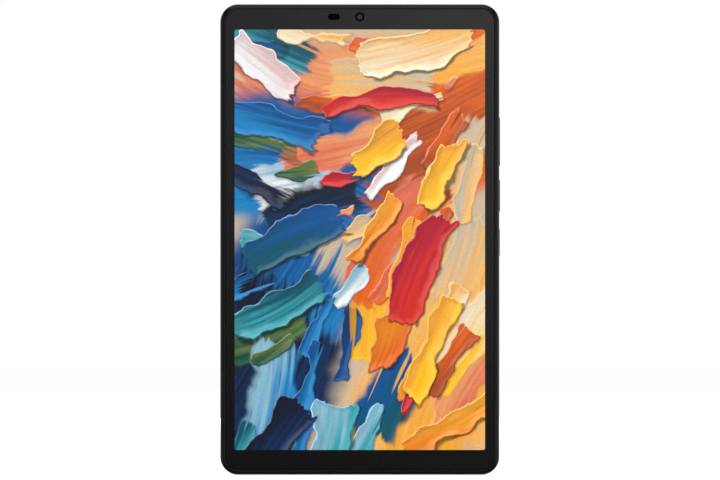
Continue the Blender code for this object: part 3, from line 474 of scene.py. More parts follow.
# Colours of the paints
PAINTS = {
    "ink": (12, 24, 44),
    "navy": (8, 48, 96),
    "deep_blue": (6, 82, 148),
    "azure": (22, 128, 190),
    "sky": (138, 186, 208),
    "petrol": (8, 84, 104),
    "turquoise": (58, 160, 172),
    "pine": (24, 78, 62),
    "moss": (96, 120, 62),
    "sand": (206, 186, 156),
    "cream": (244, 226, 190),
    "white": (238, 238, 240),
    "blush": (232, 198, 196),
    "yellow": (252, 192, 34),
    "gold": (244, 166, 52),
    "honey": (246, 184, 98),
    "amber": (232, 132, 30),
    "peach": (236, 158, 104),
    "orange": (226, 100, 26),
    "coral": (224, 112, 84),
    "rust": (166, 70, 28),
    "red": (212, 44, 34),
    "crimson": (180, 24, 50),
}

# Pairs of paints that go together in one stroke, from the dark and cool to the bright and warm
COOL_PAIRS = (
    ("navy", "ink"), ("deep_blue", "navy"), ("petrol", "deep_blue"), ("azure", "deep_blue"),
    ("turquoise", "petrol"), ("azure", "sky"), ("turquoise", "sky"), ("pine", "moss"),
)
WARM_PAIRS = (
    ("rust", "orange"), ("orange", "amber"), ("coral", "peach"), ("amber", "gold"),
    ("gold", "honey"), ("honey", "sand"), ("yellow", "gold"), ("orange", "coral"),
)
ACCENT_PAIRS = (
    ("white", "blush"), ("cream", "honey"), ("white", "sky"), ("red", "crimson"), ("yellow", "cream"),
)

# Layers of strokes, from the lowest: how many across and up, the range of lengths and of widths, the
# thickness, the softness of the edges, how dry the tails are, and the share of accents. In millimetres.
LAYERS = (
    (2, 4, (80, 110), (52, 66), 0.1, 6.0, 0.0, 0.0),
    (3, 5, (36, 64), (14, 24), 0.35, 1.6, 0.15, 0.15),
    (5, 7, (16, 40), (4, 11), 0.75, 0.22, 0.30, 0.15),
    (3, 5, (26, 52), (8, 17), 1.15, 0.12, 0.06, 0.30),
)

# The inputs of a stroke's group by kind, in its order. Lengths are in millimetres.
STROKE_INPUTS = {
    "Vector": ("Place", "Rough", "Under", "Middle", "Half", "Light", "First", "Second"),
    "Float": ("Turn", "Bend", "Lift", "Dry", "Soft", "Seed"),
}
CORNER_SOFTNESS = 4.0  # of a stroke's corners, in millimetres


def strokes():
    """A plain abstract: strokes laid at random, cool to the left and low, warm to the right and high."""
    draw = random.Random(PICTURE_SEED)
    laid = []
    for columns, rows, lengths, widths, lift, soft, dry, accents in LAYERS:
        cells = [(column, row) for column in range(columns) for row in range(rows)]
        draw.shuffle(cells)
        for column, row in cells:
            across = (column + draw.uniform(0.1, 0.9)) / columns
            up = (row + draw.uniform(0.1, 0.9)) / rows
            warmth = 0.5 + 0.9 * (across - 0.45) + 0.5 * (up - 0.5) + draw.uniform(-0.22, 0.22)
            pairs = WARM_PAIRS if warmth > 0.5 else COOL_PAIRS
            if draw.random() < accents:
                pairs = ACCENT_PAIRS
            angle = 24 + 48 * math.sin(2.4 * across - 3.4 * up + 1.0) + draw.uniform(-16, 16)
            first, second = draw.choice(pairs)
            turn = math.radians(angle)
            stroke = {
                "Middle": (across * PICTURE_WIDTH, up * PICTURE_HEIGHT, 0.0),
                "Half": (draw.uniform(*lengths) / 2, draw.uniform(*widths) / 2, 0.0),
                "Light": (math.cos(LIGHT_DIRECTION - turn), math.sin(LIGHT_DIRECTION - turn), 0.0),
                "First": linear(*PAINTS[first]),
                "Second": linear(*PAINTS[second]),
                "Turn": -turn,
                "Bend": draw.uniform(-0.006, 0.006),
                "Lift": lift * draw.uniform(0.8, 1.1),
                "Dry": dry * draw.uniform(0.3, 1.6),
                "Soft": soft,
                "Seed": len(laid) * 7.3,
            }
            laid.append(stroke)
    return laid


def knife_stroke_group():
    """One stroke of a palette knife over the colour below it. Its colours are vectors, because a long
    chain of strokes then needs no conversions between them."""
    tree = bpy.data.node_groups.new("knife_stroke", "ShaderNodeTree")
    for kind, names in STROKE_INPUTS.items():
        for name in names:
            tree.interface.new_socket(name, in_out="INPUT", socket_type=f"NodeSocket{kind}")
    tree.interface.new_socket("Over", in_out="OUTPUT", socket_type="NodeSocketVector")
    nodes = Nodes(tree)
    inputs = nodes.wires("NodeGroupInput", {})
    place, rough, below, centre, half, light, first, second, turn, bend, lift, dry, soft, seed, _ = inputs
    # a share of the colour below, too small to see, makes each stroke wait for the one below it, which
    # keeps a long chain of strokes within the renderer's memory for one material
    tiny = grey(1e-9)
    place = below.times_plus(tiny, place)
    rough = below.times_plus(tiny, rough)
    along, across, _ = (place - centre).spun(turn).parts()
    across = across + along * along * bend
    half_length, half_width, _ = half.parts()
    # streaks that run along the stroke
    streak_place = nodes.join(along.times_plus(0.022, seed), across.times_plus(0.42, seed))
    streaks = nodes.noise(streak_place, 1.0, 1.6, 0.62, "Color", "2D")
    broad, fine, gaps = nodes.wires("ShaderNodeSeparateColor", {0: streaks})
    # distance to the wavy edge, negative inside
    rough_along, rough_across, _ = rough.parts()
    end_offset = ((broad - 0.5) * half_width).times_plus(0.9, rough_along)
    end_edge = abs(along) - half_length + end_offset
    side_edge = rough_across + (abs(across) - half_width)
    edge = end_edge.smooth_max(side_edge, CORNER_SOFTNESS)
    cover = edge.step(soft, soft * -1.0)
    # the tail of a dry stroke lets the colour below through
    reach = along / half_length
    bare = reach.times_plus(0.6, 0.55) * dry
    cover = cover * (gaps - bare).step(0.10, 0.19)
    # the ridge at the edge, lit from one side
    light_along, light_across, _ = light.parts()
    side_faces = across.sign() * light_across
    end_faces = along.sign() * light_along
    nearer = (side_edge - end_edge).step(-1.5, 1.5)
    facing = (side_faces - end_faces).times_plus(nearer, end_faces)
    outer = edge.step(-0.75, -0.15)
    inner = edge.step(-4.2, -1.2) * (1.0 - outer)
    relief = inner.times_plus(-0.32, outer) * facing * lift
    # the body: one paint turns into the other across and along, with finer streaks of both
    turning = (across / half_width).times_plus(0.30, reach * 0.24)
    turning = turning + fine.times_plus(1.1, -0.05)
    paint_colour = nodes.mix(turning.step(0.15, 0.85), first, second)
    streak_light = gaps.times_plus(0.26, 0.87)
    paint_colour = paint_colour * relief.times_plus(0.60, streak_light).at_least(0.10)
    # a pale glint along the lit ridge
    glint = relief.at_least(0.0) * fine.times_plus(0.5, -0.06)
    paint_colour = paint_colour + nodes.join(glint, glint, glint)
    # the shadow on the colour below
    drop = lift * 1.1
    shadow_along = abs(light_along.times_plus(drop, along))
    shadow_across = abs(light_across.times_plus(drop, across))
    shadow_end = shadow_along - half_length + end_offset
    shadow_side = rough_across + (shadow_across - half_width)
    shadow = shadow_end.smooth_max(shadow_side, CORNER_SOFTNESS).step(0.8, -0.6, 0.0, 0.72)
    shadow = shadow * (lift * lift).at_most(1.0)
    under = below * (1.0 - shadow)
    nodes.add("NodeGroupOutput", {"Over": nodes.mix(cover, under, paint_colour)})
    return tree


def outside_of(place, centre, half, radius):
    """How far a place is outside a rounded shape, which is a box about a centre, grown by a radius."""
    beyond = (abs(place - centre) - half).at_least(grey(0.0))
    return beyond.length() - radius


def picture(nodes):
    """The lit picture's colour, an abstract of palette-knife strokes, and how far a place is outside it."""
    x, _, z = nodes.here().parts()
    place = nodes.join(x.times_plus(1 / MM, -PICTURE_X[0] / MM), z.times_plus(1 / MM, -PICTURE_Z[0] / MM))
    wander = nodes.noise(place, 0.055, 3.0, 0.42, "Color", "2D")
    wander_along, wander_across, _ = nodes.wires("ShaderNodeSeparateColor", {0: wander})
    rough = nodes.join(wander_along.times_plus(18.0, -9.0), wander_across.times_plus(12.0, -6.0))
    group = knife_stroke_group()
    colour = nodes.join(*linear(*PAINTS["sand"]))
    for stroke in strokes():
        given = {"Place": place, "Rough": rough, "Under": colour, **stroke}
        colour = nodes.wire("ShaderNodeGroup", given, node_tree=group)
    # weave of the canvas and grain of the paint
    weave = nodes.noise(place * (0.5, 1.9, 0.0), 1.0, 2.0, 0.7, "Fac", "2D")
    colour = colour * weave.times_plus(0.30, 0.85)
    half_width = PICTURE_WIDTH / 2
    half_height = PICTURE_HEIGHT / 2
    straight = (half_width - PICTURE_CORNER, half_height - PICTURE_CORNER, 0.0)
    return colour, outside_of(place, (half_width, half_height, 0.0), straight, PICTURE_CORNER)


def window_mask(nodes):
    """1 over the camera's round window and the sensor's long one, and 0 over the printed border."""
    place = nodes.flat_here()
    camera_out = (place - (FRONT_CAMERA.x / MM, FRONT_CAMERA.z / MM, 0.0)).length() - CAMERA_WINDOW_RADIUS
    straight = ((SENSOR_WINDOW[0] - SENSOR_WINDOW[1]) / 2, 0.0, 0.0)
    sensor_out = outside_of(place, (SENSOR.x / MM, SENSOR.z / MM, 0.0), straight, SENSOR_WINDOW[1] / 2)
    return camera_out.at_most(sensor_out).step(0.03, -0.03)


def front_glass_look():
    """The glass with its black printed border, and the lit picture behind its clear part."""
    look = Look("front_glass")
    colour, outside = picture(look)
    lit = colour * outside.step(-0.22, -0.30)
    place = look.here()
    smudges = look.noise(place, 45.0, 4.0, 0.6).step(0.35, 0.75, 0.015, 0.035)
    black = look.blend(look.noise(place, 2500.0, 1.0), (0.0012, 0.0012, 0.0013), (0.0024, 0.0024, 0.0026))
    opaque = 1.0 - window_mask(look)
    others = {"Emission Color": lit, "Emission Strength": PICTURE_BRIGHTNESS, "Alpha": opaque}
    look.material.cycles.emission_sampling = "NONE"
    return look.finish(black, smudges, others)


# ---- the other materials


def speckled(name, dark, light, roughness, grain, relief=0.004 * MM, metallic=0.0):
    """A moulded or painted surface: fine grain in its colour, its gloss and its relief."""
    look = Look(name)
    place = look.here()
    fine = look.noise(place, grain, 3.0, 0.6)
    broad = look.noise(place, 90.0, 3.0)
    share = (fine * 0.6 + broad * 0.4).step(0.35, 0.65)
    colour = look.blend(share, dark, light)
    gloss = broad.step(0.3, 0.7, roughness - 0.08, roughness + 0.08)
    return look.finish(colour, gloss, {"Metallic": metallic}, fine, relief)


def housing_look():
    """Graphite, fine-blasted, with slight rub marks where the hand holds the edge."""
    look = Look("housing_graphite")
    place = look.here()
    blast = look.noise(place, 5200.0, 2.0, 0.6)
    cloud = look.noise(place, 60.0, 4.0, 0.55)
    colour = look.blend(blast.step(0.3, 0.7), (0.070, 0.072, 0.078), (0.098, 0.100, 0.107))
    colour = look.blend(cloud.step(0.55, 0.72, 0.0, 0.20), colour, (0.115, 0.117, 0.122))
    # painted light: from its rounded edge on, the back is painted up to 1.7 times lighter than the edge,
    # standing in for light on the back
    _, y, _ = place.parts()
    colour = colour * y.step(BACK_Y - BACK_EDGE_RADIUS, BACK_Y, 1.0, 1.7)
    gloss = cloud.step(0.3, 0.75, 0.345, 0.305)
    return look.finish(colour, gloss, {"Metallic": 1.0}, blast, 0.0008 * MM, 0.8)


def machined_look(name, dark, light, roughness, centre):
    """Turned metal, with fine rings about a centre."""
    look = Look(name)
    inputs = {"W": look.flat_from(centre).length(), "Scale": 14000.0}
    rings = look.wire("ShaderNodeTexNoise", inputs, "Fac", noise_dimensions="1D")
    colour = look.blend(rings.step(0.3, 0.7), dark, light)
    gloss = rings.step(0.2, 0.8, roughness - 0.06, roughness + 0.08)
    return look.finish(colour, gloss, {"Metallic": 1.0}, rings, 0.002 * MM)


def brushed_look(name, dark, light, roughness):
    """Rolled sheet metal, with fine lines along X."""
    look = Look(name)
    lines = look.noise(look.here() / (30.0, 1.0, 1.0), 6000.0, 3.0, 0.6)
    stain = look.noise(look.here(), 140.0, 3.0)
    share = lines * 0.6 + stain * 0.4
    colour = look.blend(share.step(0.35, 0.65), dark, light)
    gloss = lines.step(0.3, 0.7, roughness - 0.07, roughness + 0.07)
    return look.finish(colour, gloss, {"Metallic": 1.0}, lines, 0.003 * MM)


def woven_look(name, dark, light, pitch):
    """Fine woven mesh: threads cross at a pitch, and the gaps between them are painted near black as painted
    shade, where holes would show.
    """
    look = Look(name)
    x, y, _ = look.here().parts()
    warp = abs(x.waves(2 * pitch))
    weft = abs(y.waves(2 * pitch))
    thread = warp.step(0.75, 0.45).at_least(weft.step(0.75, 0.45))
    patch = look.noise(look.here(), 800.0)
    metal = look.blend(patch, dark, light)
    # painted shade: the gaps between the threads are near black
    colour = look.blend(thread, grey(0.002), metal)
    gloss = patch.step(0.3, 0.7, 0.4, 0.6)
    return look.finish(colour, gloss, {"Metallic": 0.6}, thread, 0.03 * MM)


def board_look():
    """Green solder mask over copper tracks, with gold pads."""
    look = Look("circuit_board")
    plane = look.flat_here()
    run = look.noise(plane, 0.09, 1.0, 0.5, "Fac", "2D")
    x, _, _ = plane.parts()
    lanes = run.times_plus(9.0, x * 1.6)
    tracks = abs(lanes.waves(2.0)).step(0.55, 0.75)
    inputs = {"Vector": plane, "Scale": 0.55, "Randomness": 0.7}
    dots = look.wire("ShaderNodeTexVoronoi", inputs, "Distance", voronoi_dimensions="2D")
    pads = dots.step(0.17, 0.14)
    mask = look.blend(tracks, (0.004, 0.040, 0.022), (0.010, 0.085, 0.045))
    colour = look.blend(pads, mask, (0.62, 0.42, 0.14))
    gloss = pads.step(0.0, 1.0, 0.38, 0.25)
    return look.finish(colour, gloss, {"Metallic": pads}, tracks + pads, 0.02 * MM)


def flex_look():
    """Amber polyimide film, with copper tracks under it."""
    look = Look("flex_film")
    x, _, z = look.here().parts()
    tracks = (x + z).waves(0.9 * MM).step(-0.2, 0.2)
    haze = look.noise(look.here(), 260.0, 3.0)
    film = look.blend(haze, (0.22, 0.085, 0.012), (0.34, 0.15, 0.028))
    colour = look.blend(tracks, film, (0.47, 0.24, 0.06))
    gloss = haze.step(0.3, 0.7, 0.28, 0.4)
    return look.finish(colour, gloss, {}, tracks, 0.012 * MM)


def foil_look():
    """The battery's pouch: aluminium laminate with soft creases, and painted shade in their hollows."""
    look = Look("battery_foil")
    place = look.here()
    crease_relief_and_shade = look.noise(place * (1.0, 1.0, 0.45), 95.0, 5.0, 0.55)
    grain = look.noise(place, 2600.0)
    # painted shade: the foil's colour is darker where the creases are low
    colour = look.blend(crease_relief_and_shade, (0.36, 0.37, 0.39), (0.58, 0.59, 0.61))
    gloss = grain.step(0.3, 0.7, 0.30, 0.42)
    return look.finish(colour, gloss, {"Metallic": 0.8}, crease_relief_and_shade + grain * 0.04, 0.25 * MM)


def film_look(name, dark, light, roughness, coat):
    """A clear or white sheet of the display, with a faint prism pattern."""
    look = Look(name)
    x, _, z = look.here().parts()
    prisms = (x + z * 0.02).waves(0.3 * MM)
    haze = look.noise(look.here(), 70.0, 3.0)
    colour = look.blend(haze, dark, light)
    gloss = haze.step(0.3, 0.7, roughness, roughness + 0.1)
    return look.finish(colour, gloss, {"Coat Weight": coat}, prisms, 0.002 * MM)


def coated_lens_look(name, centre, core, rim):
    """Dark coated glass whose tint changes from the middle outwards."""
    look = Look(name)
    radius = look.flat_from(centre).length() * (1 / MM)
    swirl = look.noise(look.here(), 1500.0)
    colour = look.blend(swirl.times_plus(0.2, radius).step(0.35, 0.95), core, rim)
    gloss = swirl.step(0.3, 0.7, 0.02, 0.06)
    return look.finish(colour, gloss, {"Coat Weight": 1.0, "Coat Roughness": 0.02})


def glint_painted_lens_look():
    """The front lens: black, with a small blue glint painted into its colour as a painted reflection that
    leans to the right.
    """
    look = Look("front_lens_painted_glint")
    oval = look.flat_from(FRONT_CAMERA).spun(math.radians(-45)) / (0.62 * MM, 0.28 * MM, 1.0)
    swirl = look.noise(look.here(), 2200.0)
    glint = swirl.times_plus(0.3, oval.length()).step(1.25, 0.35)
    # painted reflection: the blue glint is part of the lens's colour
    colour = look.blend(glint, (0.002, 0.002, 0.003), (0.012, 0.05, 0.24))
    gloss = swirl.step(0.3, 0.7, 0.02, 0.05)
    return look.finish(colour, gloss)


def deep_black_look():
    """Anti-reflection black round the lens and over the sensor."""
    look = Look("deep_black")
    grain = look.noise(look.here(), 2600.0)
    colour = look.blend(grain, (0.0006, 0.0006, 0.0007), (0.0022, 0.0022, 0.0024))
    gloss = grain.step(0.3, 0.7, 0.45, 0.6)
    return look.finish(colour, gloss, {"Specular IOR Level": 0.06}, grain, 0.002 * MM)


def clear_window_look():
    """The rear camera's hard clear window, with faint wipe marks."""
    look = Look("clear_window")
    marks = look.noise(look.here(), 700.0, 3.0)
    gloss = marks.step(0.5, 0.8, 0.0, 0.01)
    colour = look.blend(marks, (0.30, 0.33, 0.38), (0.40, 0.42, 0.46))
    return look.finish(colour, gloss, {"Transmission Weight": 1.0, "IOR": 1.5})


def tongue_look():
    """The port's black tongue with its row of gold contacts."""
    look = Look("port_tongue")
    x, _, z = look.here().parts()
    lanes = abs((x + 0.25 * MM).waves(1.0 * MM))
    contacts = lanes.step(0.45, 0.60)
    contacts = contacts * z.step(1.5 * MM, 1.7 * MM)
    grain = look.noise(look.here(), 3000.0)
    resin = look.blend(grain, grey(0.006), grey(0.014))
    colour = look.blend(contacts, resin, (0.75, 0.52, 0.20))
    gloss = grain.step(0.3, 0.7, 0.3, 0.45)
    return look.finish(colour, gloss, {"Metallic": contacts}, contacts, 0.03 * MM)


def panel_look():
    """The display panel's polariser over its fine grid of dots."""
    look = Look("lcd_panel")
    x, _, z = look.here().parts()
    grid = x.waves(0.141 * MM).at_least(z.waves(0.141 * MM)).step(0.6, 0.9)
    colour = look.blend(grid, (0.016, 0.017, 0.026), (0.006, 0.006, 0.008))
    gloss = look.noise(look.here(), 300.0).step(0.3, 0.7, 0.12, 0.2)
    return look.finish(colour, gloss, {"Coat Weight": 0.6})


# ---- the pieces


def head_span(node):
    """The span along Z of the part that shows of a key or of the tray."""
    return about(middle(node).z, HEAD_LENGTHS[node])


def mouth(outline, face):
    """A cutter through the wall, flared at a face. Its outline is a function of how far it grows."""
    axis, surface, outwards = face
    depths = [(-2 * WALL, 0.0), (-MOUTH_FLARE, 0.0), (0.0, MOUTH_FLARE), (WALL, MOUTH_FLARE + WALL * 0.2)]
    return loft([in_space(outline(grow), axis, surface + outwards * depth) for depth, grow in depths])


def key_mouth(span):
    return mouth(lambda grow: key_outline(span, -grow - KEY_CLEARANCE), KEY_FACE)


def round_mouth(first, second, radius, segments, face):
    return mouth(lambda grow: circle(first, second, radius + grow, segments), face)


def slot_mouth(x, y, length, width, face):
    return mouth(lambda grow: slot_outline(x, y, length + 2 * grow, width + 2 * grow), face)


def housing_openings():
    """Cutters for the keys, the tray, the eject pin, the port, the socket, the slots and the camera."""
    tools = [key_mouth(head_span(node)) for node in HEAD_LENGTHS]
    tools.append(round_mouth(KEY_Y, middle("eject_rod").z, EJECT_HOLE_RADIUS, 24, KEY_FACE))
    low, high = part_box("usb_c_shell")
    tools.append(slot_mouth(0, PORT_Y, high.x - low.x + PORT_GAP, high.y - low.y + PORT_GAP, BOTTOM_FACE))
    tools.append(round_mouth(middle("microphone").x, SLOT_Y, SOUND_HOLE_RADIUS, 24, BOTTOM_FACE))
    tools.append(round_mouth(middle("headphone_jack").x, JACK_Y, JACK_RADIUS, 40, TOP_FACE))
    for speaker, face in (("bottom_speaker", BOTTOM_FACE), ("top_speaker", TOP_FACE)):
        for number in range(SLOT_COUNT):
            x = middle(speaker).x + (number - (SLOT_COUNT - 1) / 2) * SLOT_PITCH
            tools.append(slot_mouth(x, SLOT_Y, SLOT_LENGTH, SLOT_WIDTH, face))
    hole = circle(REAR_CAMERA.x, REAR_CAMERA.z, REAR_CAMERA_HOLE_RADIUS)
    tools.append(prism(hole, "Y", (FLOOR_Y - 1 * MM, BACK_Y + 1 * MM)))
    return tools


def body_shell(name, profile):
    """A piece with the body's outline, moved inwards as its profile of (inset, y) says."""
    return object_of(name, loft([in_space(body_outline(inset), "Y", y) for inset, y in profile]))


def housing(look):
    """The tub: its outside from the back to the lip, then its inside from the lip to the floor."""
    back_edge = soft_edge(BACK_EDGE_RADIUS, BACK_EDGE_RADIUS, 90, EDGE_STEPS)
    front_edge = soft_edge(FRONT_EDGE_WIDTH, FRONT_EDGE_DEPTH, FRONT_EDGE_TURN, EDGE_STEPS)
    profile = [(inset, BACK_Y - depth) for depth, inset in back_edge]
    profile += [(inset, FRONT_EDGE_Y + depth) for inset, depth in front_edge]
    profile += [(LIP_CHAMFER_END, LIP_Y), (WALL, LIP_Y)]
    profile += [(WALL, FLOOR_Y - INNER_CHAMFER), (WALL + INNER_CHAMFER, FLOOR_Y)]
    piece = body_shell("housing", profile)
    carve(piece, housing_openings())
    dress(piece, look, "chassis", "housing", "rear_cover")


def glass(look):
    """The front glass, whose front edge is rounded over."""
    profile = [(GLASS_INSET, GLASS_HIGH.y)]
    for inset, depth in soft_edge(GLASS_EDGE_WIDTH, GLASS_EDGE_DEPTH):
        profile.append((GLASS_INSET + inset, FRONT_Y + depth))
    piece = body_shell("front_glass", profile)
    dress(piece, look, "chassis", "cover_glass", "cover_glass")


def soft_head(span, face_x):
    """Rings of the rounded face of a key's cap or the tray's head."""
    edge = soft_edge(KEY_EDGE, KEY_EDGE)
    return [in_space(key_outline(span, inset), "X", face_x - depth) for inset, depth in edge]


def key(name, node, look, body, studs):
    """A key: its flange inside the wall, its cap through the opening, and its studs."""
    low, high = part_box(node)
    cap = head_span(node)
    flange = key_outline(grown(cap, KEY_FLANGE_MARGIN), 0.0, KEY_FLANGE_WIDTH)
    rings = [in_space(flange, "X", x) for x in KEY_FLANGE_X]
    rings.append(in_space(key_outline(cap), "X", KEY_FLANGE_X[1]))
    piece = object_of(name, loft(rings + soft_head(cap, high.x)))
    joined = []
    for offset, shortfall in studs:
        outline = circle(KEY_Y, middle(node).z + offset, STUD_RADIUS, 32)
        joined.append(prism(outline, "X", (low.x + shortfall, KEY_FLANGE_X[0] + STUD_OVERLAP)))
    carve(piece, joined, "UNION")
    dress(piece, look, body, "housing", node)


def tray_slab(x, slab):
    length, radius, y = slab
    return prism(rounded_rectangle(x, about(middle("card_tray").z, length), radius, 8), "Y", y)


def tray(look):
    """The card tray: a rounded head, a neck for the seal and a frame with a recess for the card."""
    low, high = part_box("card_tray")
    head = head_span("card_tray")
    rings = [in_space(key_outline(head), "X", TRAY_HEAD_X)]
    piece = object_of("tray", loft(rings + soft_head(head, high.x)))
    neck = key_outline(about(middle("card_tray").z, TRAY_NECK_LENGTH), 0.0, TRAY_NECK_WIDTH)
    carrier = tray_slab((low.x, TRAY_CARRIER_END_X), TRAY_CARRIER)
    carve(piece, [prism(neck, "X", TRAY_NECK_X), carrier], "UNION")
    carve(piece, [tray_slab(TRAY_RECESS_X, TRAY_RECESS), tray_slab(TRAY_WINDOW_X, TRAY_WINDOW)])
    dress(piece, look, "tray", "housing", "card_tray")


def gasket(look):
    """The rubber ring round the tray's neck, with two sealing lips."""
    low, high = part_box("tray_gasket")
    z = (low.z, high.z)
    rings = []
    for share, inset in SEAL_PROFILE:
        outline = key_outline(z, inset * MM, high.y - low.y)
        rings.append(in_space(outline, "X", low.x + share * (high.x - low.x)))
    bore = key_outline(about((low.z + high.z) / 2, SEAL_BORE_LENGTH), 0.0, SEAL_BORE_WIDTH)
    rings += [in_space(bore, "X", x) for x in (high.x, low.x)]
    piece = object_of("seal_ring", loft(rings, joined=True))
    dress(piece, look, "tray", "rubber", "tray_gasket")


def camera_ring(look):
    """The raised ring round the rear camera, with a rounded rim and a polished inner chamfer."""
    low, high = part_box("rear_camera_ring")
    window_low, window_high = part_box("rear_camera_window")
    outer = (high.x - low.x) / 2
    window_radius = (window_high.x - window_low.x) / 2
    spigot = 5.3 * MM
    bore = 3.9 * MM
    seat = window_radius + 0.10 * MM
    seat_y = window_low.y - 0.05 * MM
    flange_y = BACK_Y + 0.1 * MM
    edge = 0.05 * MM
    rim = 0.32 * MM
    profile = [(spigot, low.y), (spigot, flange_y), (outer - edge, flange_y), (outer, flange_y + edge)]
    profile += arc(outer - rim, high.y - rim, rim, 90, 8)
    profile += [
        (window_radius + 0.75 * MM, high.y),
        (window_radius + 0.65 * MM, high.y - 0.03 * MM),
        (seat, high.y - 0.22 * MM),
        (seat, seat_y),
        (bore, seat_y),
        (bore, low.y),
    ]
    piece = turned("camera_ring", REAR_CAMERA, profile, joined=True, segments=96)
    dress(piece, look, "chassis", "dark_metal", "rear_camera_ring")


def camera_window(look):
    low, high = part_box("rear_camera_window")
    radius = (high.x - low.x) / 2
    edge = 0.06 * MM
    profile = [(radius - edge, low.y), (radius, low.y + edge)]
    profile += [(radius, high.y - edge), (radius - edge, high.y)]
    piece = turned("camera_window", REAR_CAMERA, profile)
    dress(piece, look, "chassis", "lens_glass", "rear_camera_window")


def focus_barrel(barrel_look, lens_look):
    """The rear lens: a stepped black barrel that narrows to its domed front element."""
    low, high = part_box("rear_camera_lens")
    radius = (high.x - low.x) / 2
    edge = 0.25 * MM
    profile = [(radius, low.y), (radius, high.y - edge)]
    profile += arc(radius - edge, high.y - edge, edge, 90, 5)
    # steps down towards the element: how much narrower and deeper each is, and its sloping riser
    for step in range(4):
        outer = (2.45 - 0.28 * step) * MM
        depth = high.y - 0.11 * MM * step
        profile += [(outer, depth), (outer - 0.06 * MM, depth - 0.09 * MM)]
    profile.append((1.30 * MM, high.y - 0.52 * MM))
    barrel = turned("focus_barrel", REAR_CAMERA, profile)
    dress(barrel, barrel_look, "focus_lens", "black_plastic", "rear_camera_lens")
    rim = 1.28 * MM
    dome = 1.75 * MM
    element = [(rim, high.y - 0.50 * MM)] + arc(0.0, high.y - dome, dome, 41, 8, 45)
    element = [point for point in element if point[0] <= rim]
    front = turned("focus_lens_element", REAR_CAMERA, element)
    dress(front, lens_look, "focus_lens", "lens_glass")


def front_lens(look):
    """The front camera's lens: its front element has a flat face in its barrel."""
    low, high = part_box("front_camera_lens")
    radius = (high.x - low.x) / 2
    edge = 0.08 * MM
    profile = [(radius, high.y)]
    profile += [(radius - inset, low.y + depth) for inset, depth in soft_edge(edge, edge)]
    piece = turned("front_lens", FRONT_CAMERA, profile)
    dress(piece, look, "chassis", "lens_glass", "front_camera_lens")


def sensor(look):
    """The light sensor: its block, and the dark stadium of its filter under the glass."""
    low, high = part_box("light_sensor")
    length, width = SENSOR_WINDOW[0] * MM, SENSOR_WINDOW[1] * MM
    filter_outline = rounded_rectangle(about(SENSOR.x, length), about(SENSOR.z, width), width * 0.49, 12)
    piece = object_of("sensor_window", prism(filter_outline, "Y", about(low.y, 0.24 * MM)))
    block = rounded_rectangle((low.x, high.x), (low.z, high.z), 0.2 * MM, 4)
    carve(piece, [prism(block, "Y", (low.y, high.y))], "UNION")
    dress(piece, look, "chassis", "black_plastic", "light_sensor")


def port(shell_look, contact_look):
    """The port's drawn steel shell with a rolled rim, and its tongue."""
    low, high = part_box("usb_c_shell")
    wall = 0.25 * MM
    roll = 0.08 * MM
    rings = []
    for inset, z in (
        (0.0, high.z),
        (0.0, low.z + roll),
        (roll, low.z),
        (wall - roll, low.z),
        (wall, low.z + roll),
        (wall, high.z - 0.8 * MM),
    ):
        outline = slot_outline(0, PORT_Y, high.x - low.x - 2 * inset, high.y - low.y - 2 * inset)
        rings.append(in_space(outline, "Z", z))
    dress(object_of("port_shell", loft(rings)), shell_look, "chassis", "steel", "usb_c_shell")
    low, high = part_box("usb_c_tongue")
    edge = 0.12 * MM
    rings = []
    for inset, z in ((edge, low.z), (0.0, low.z + edge), (0.0, high.z)):
        x = grown((low.x, high.x), -inset)
        y = grown((low.y, high.y), -inset)
        rings.append(in_space(rounded_rectangle(x, y, 0.15 * MM, 4), "Z", z))
    dress(object_of("port_tongue", loft(rings)), contact_look, "chassis", "black_plastic", "usb_c_tongue")


def soften(width, *nodes):
    """Rounds the edges of CAD pieces' shown surfaces."""
    for node in nodes:
        piece = frame["nodes"][node]
        weld = piece.modifiers.new("weld", "WELD")
        weld.merge_threshold = 0.001 * MM
        bevel = piece.modifiers.new("edges", "BEVEL")
        bevel.width = width
        bevel.segments = 3
        bevel.limit_method = "ANGLE"
        bevel.angle_limit = math.radians(35)
        weight_normals(piece)


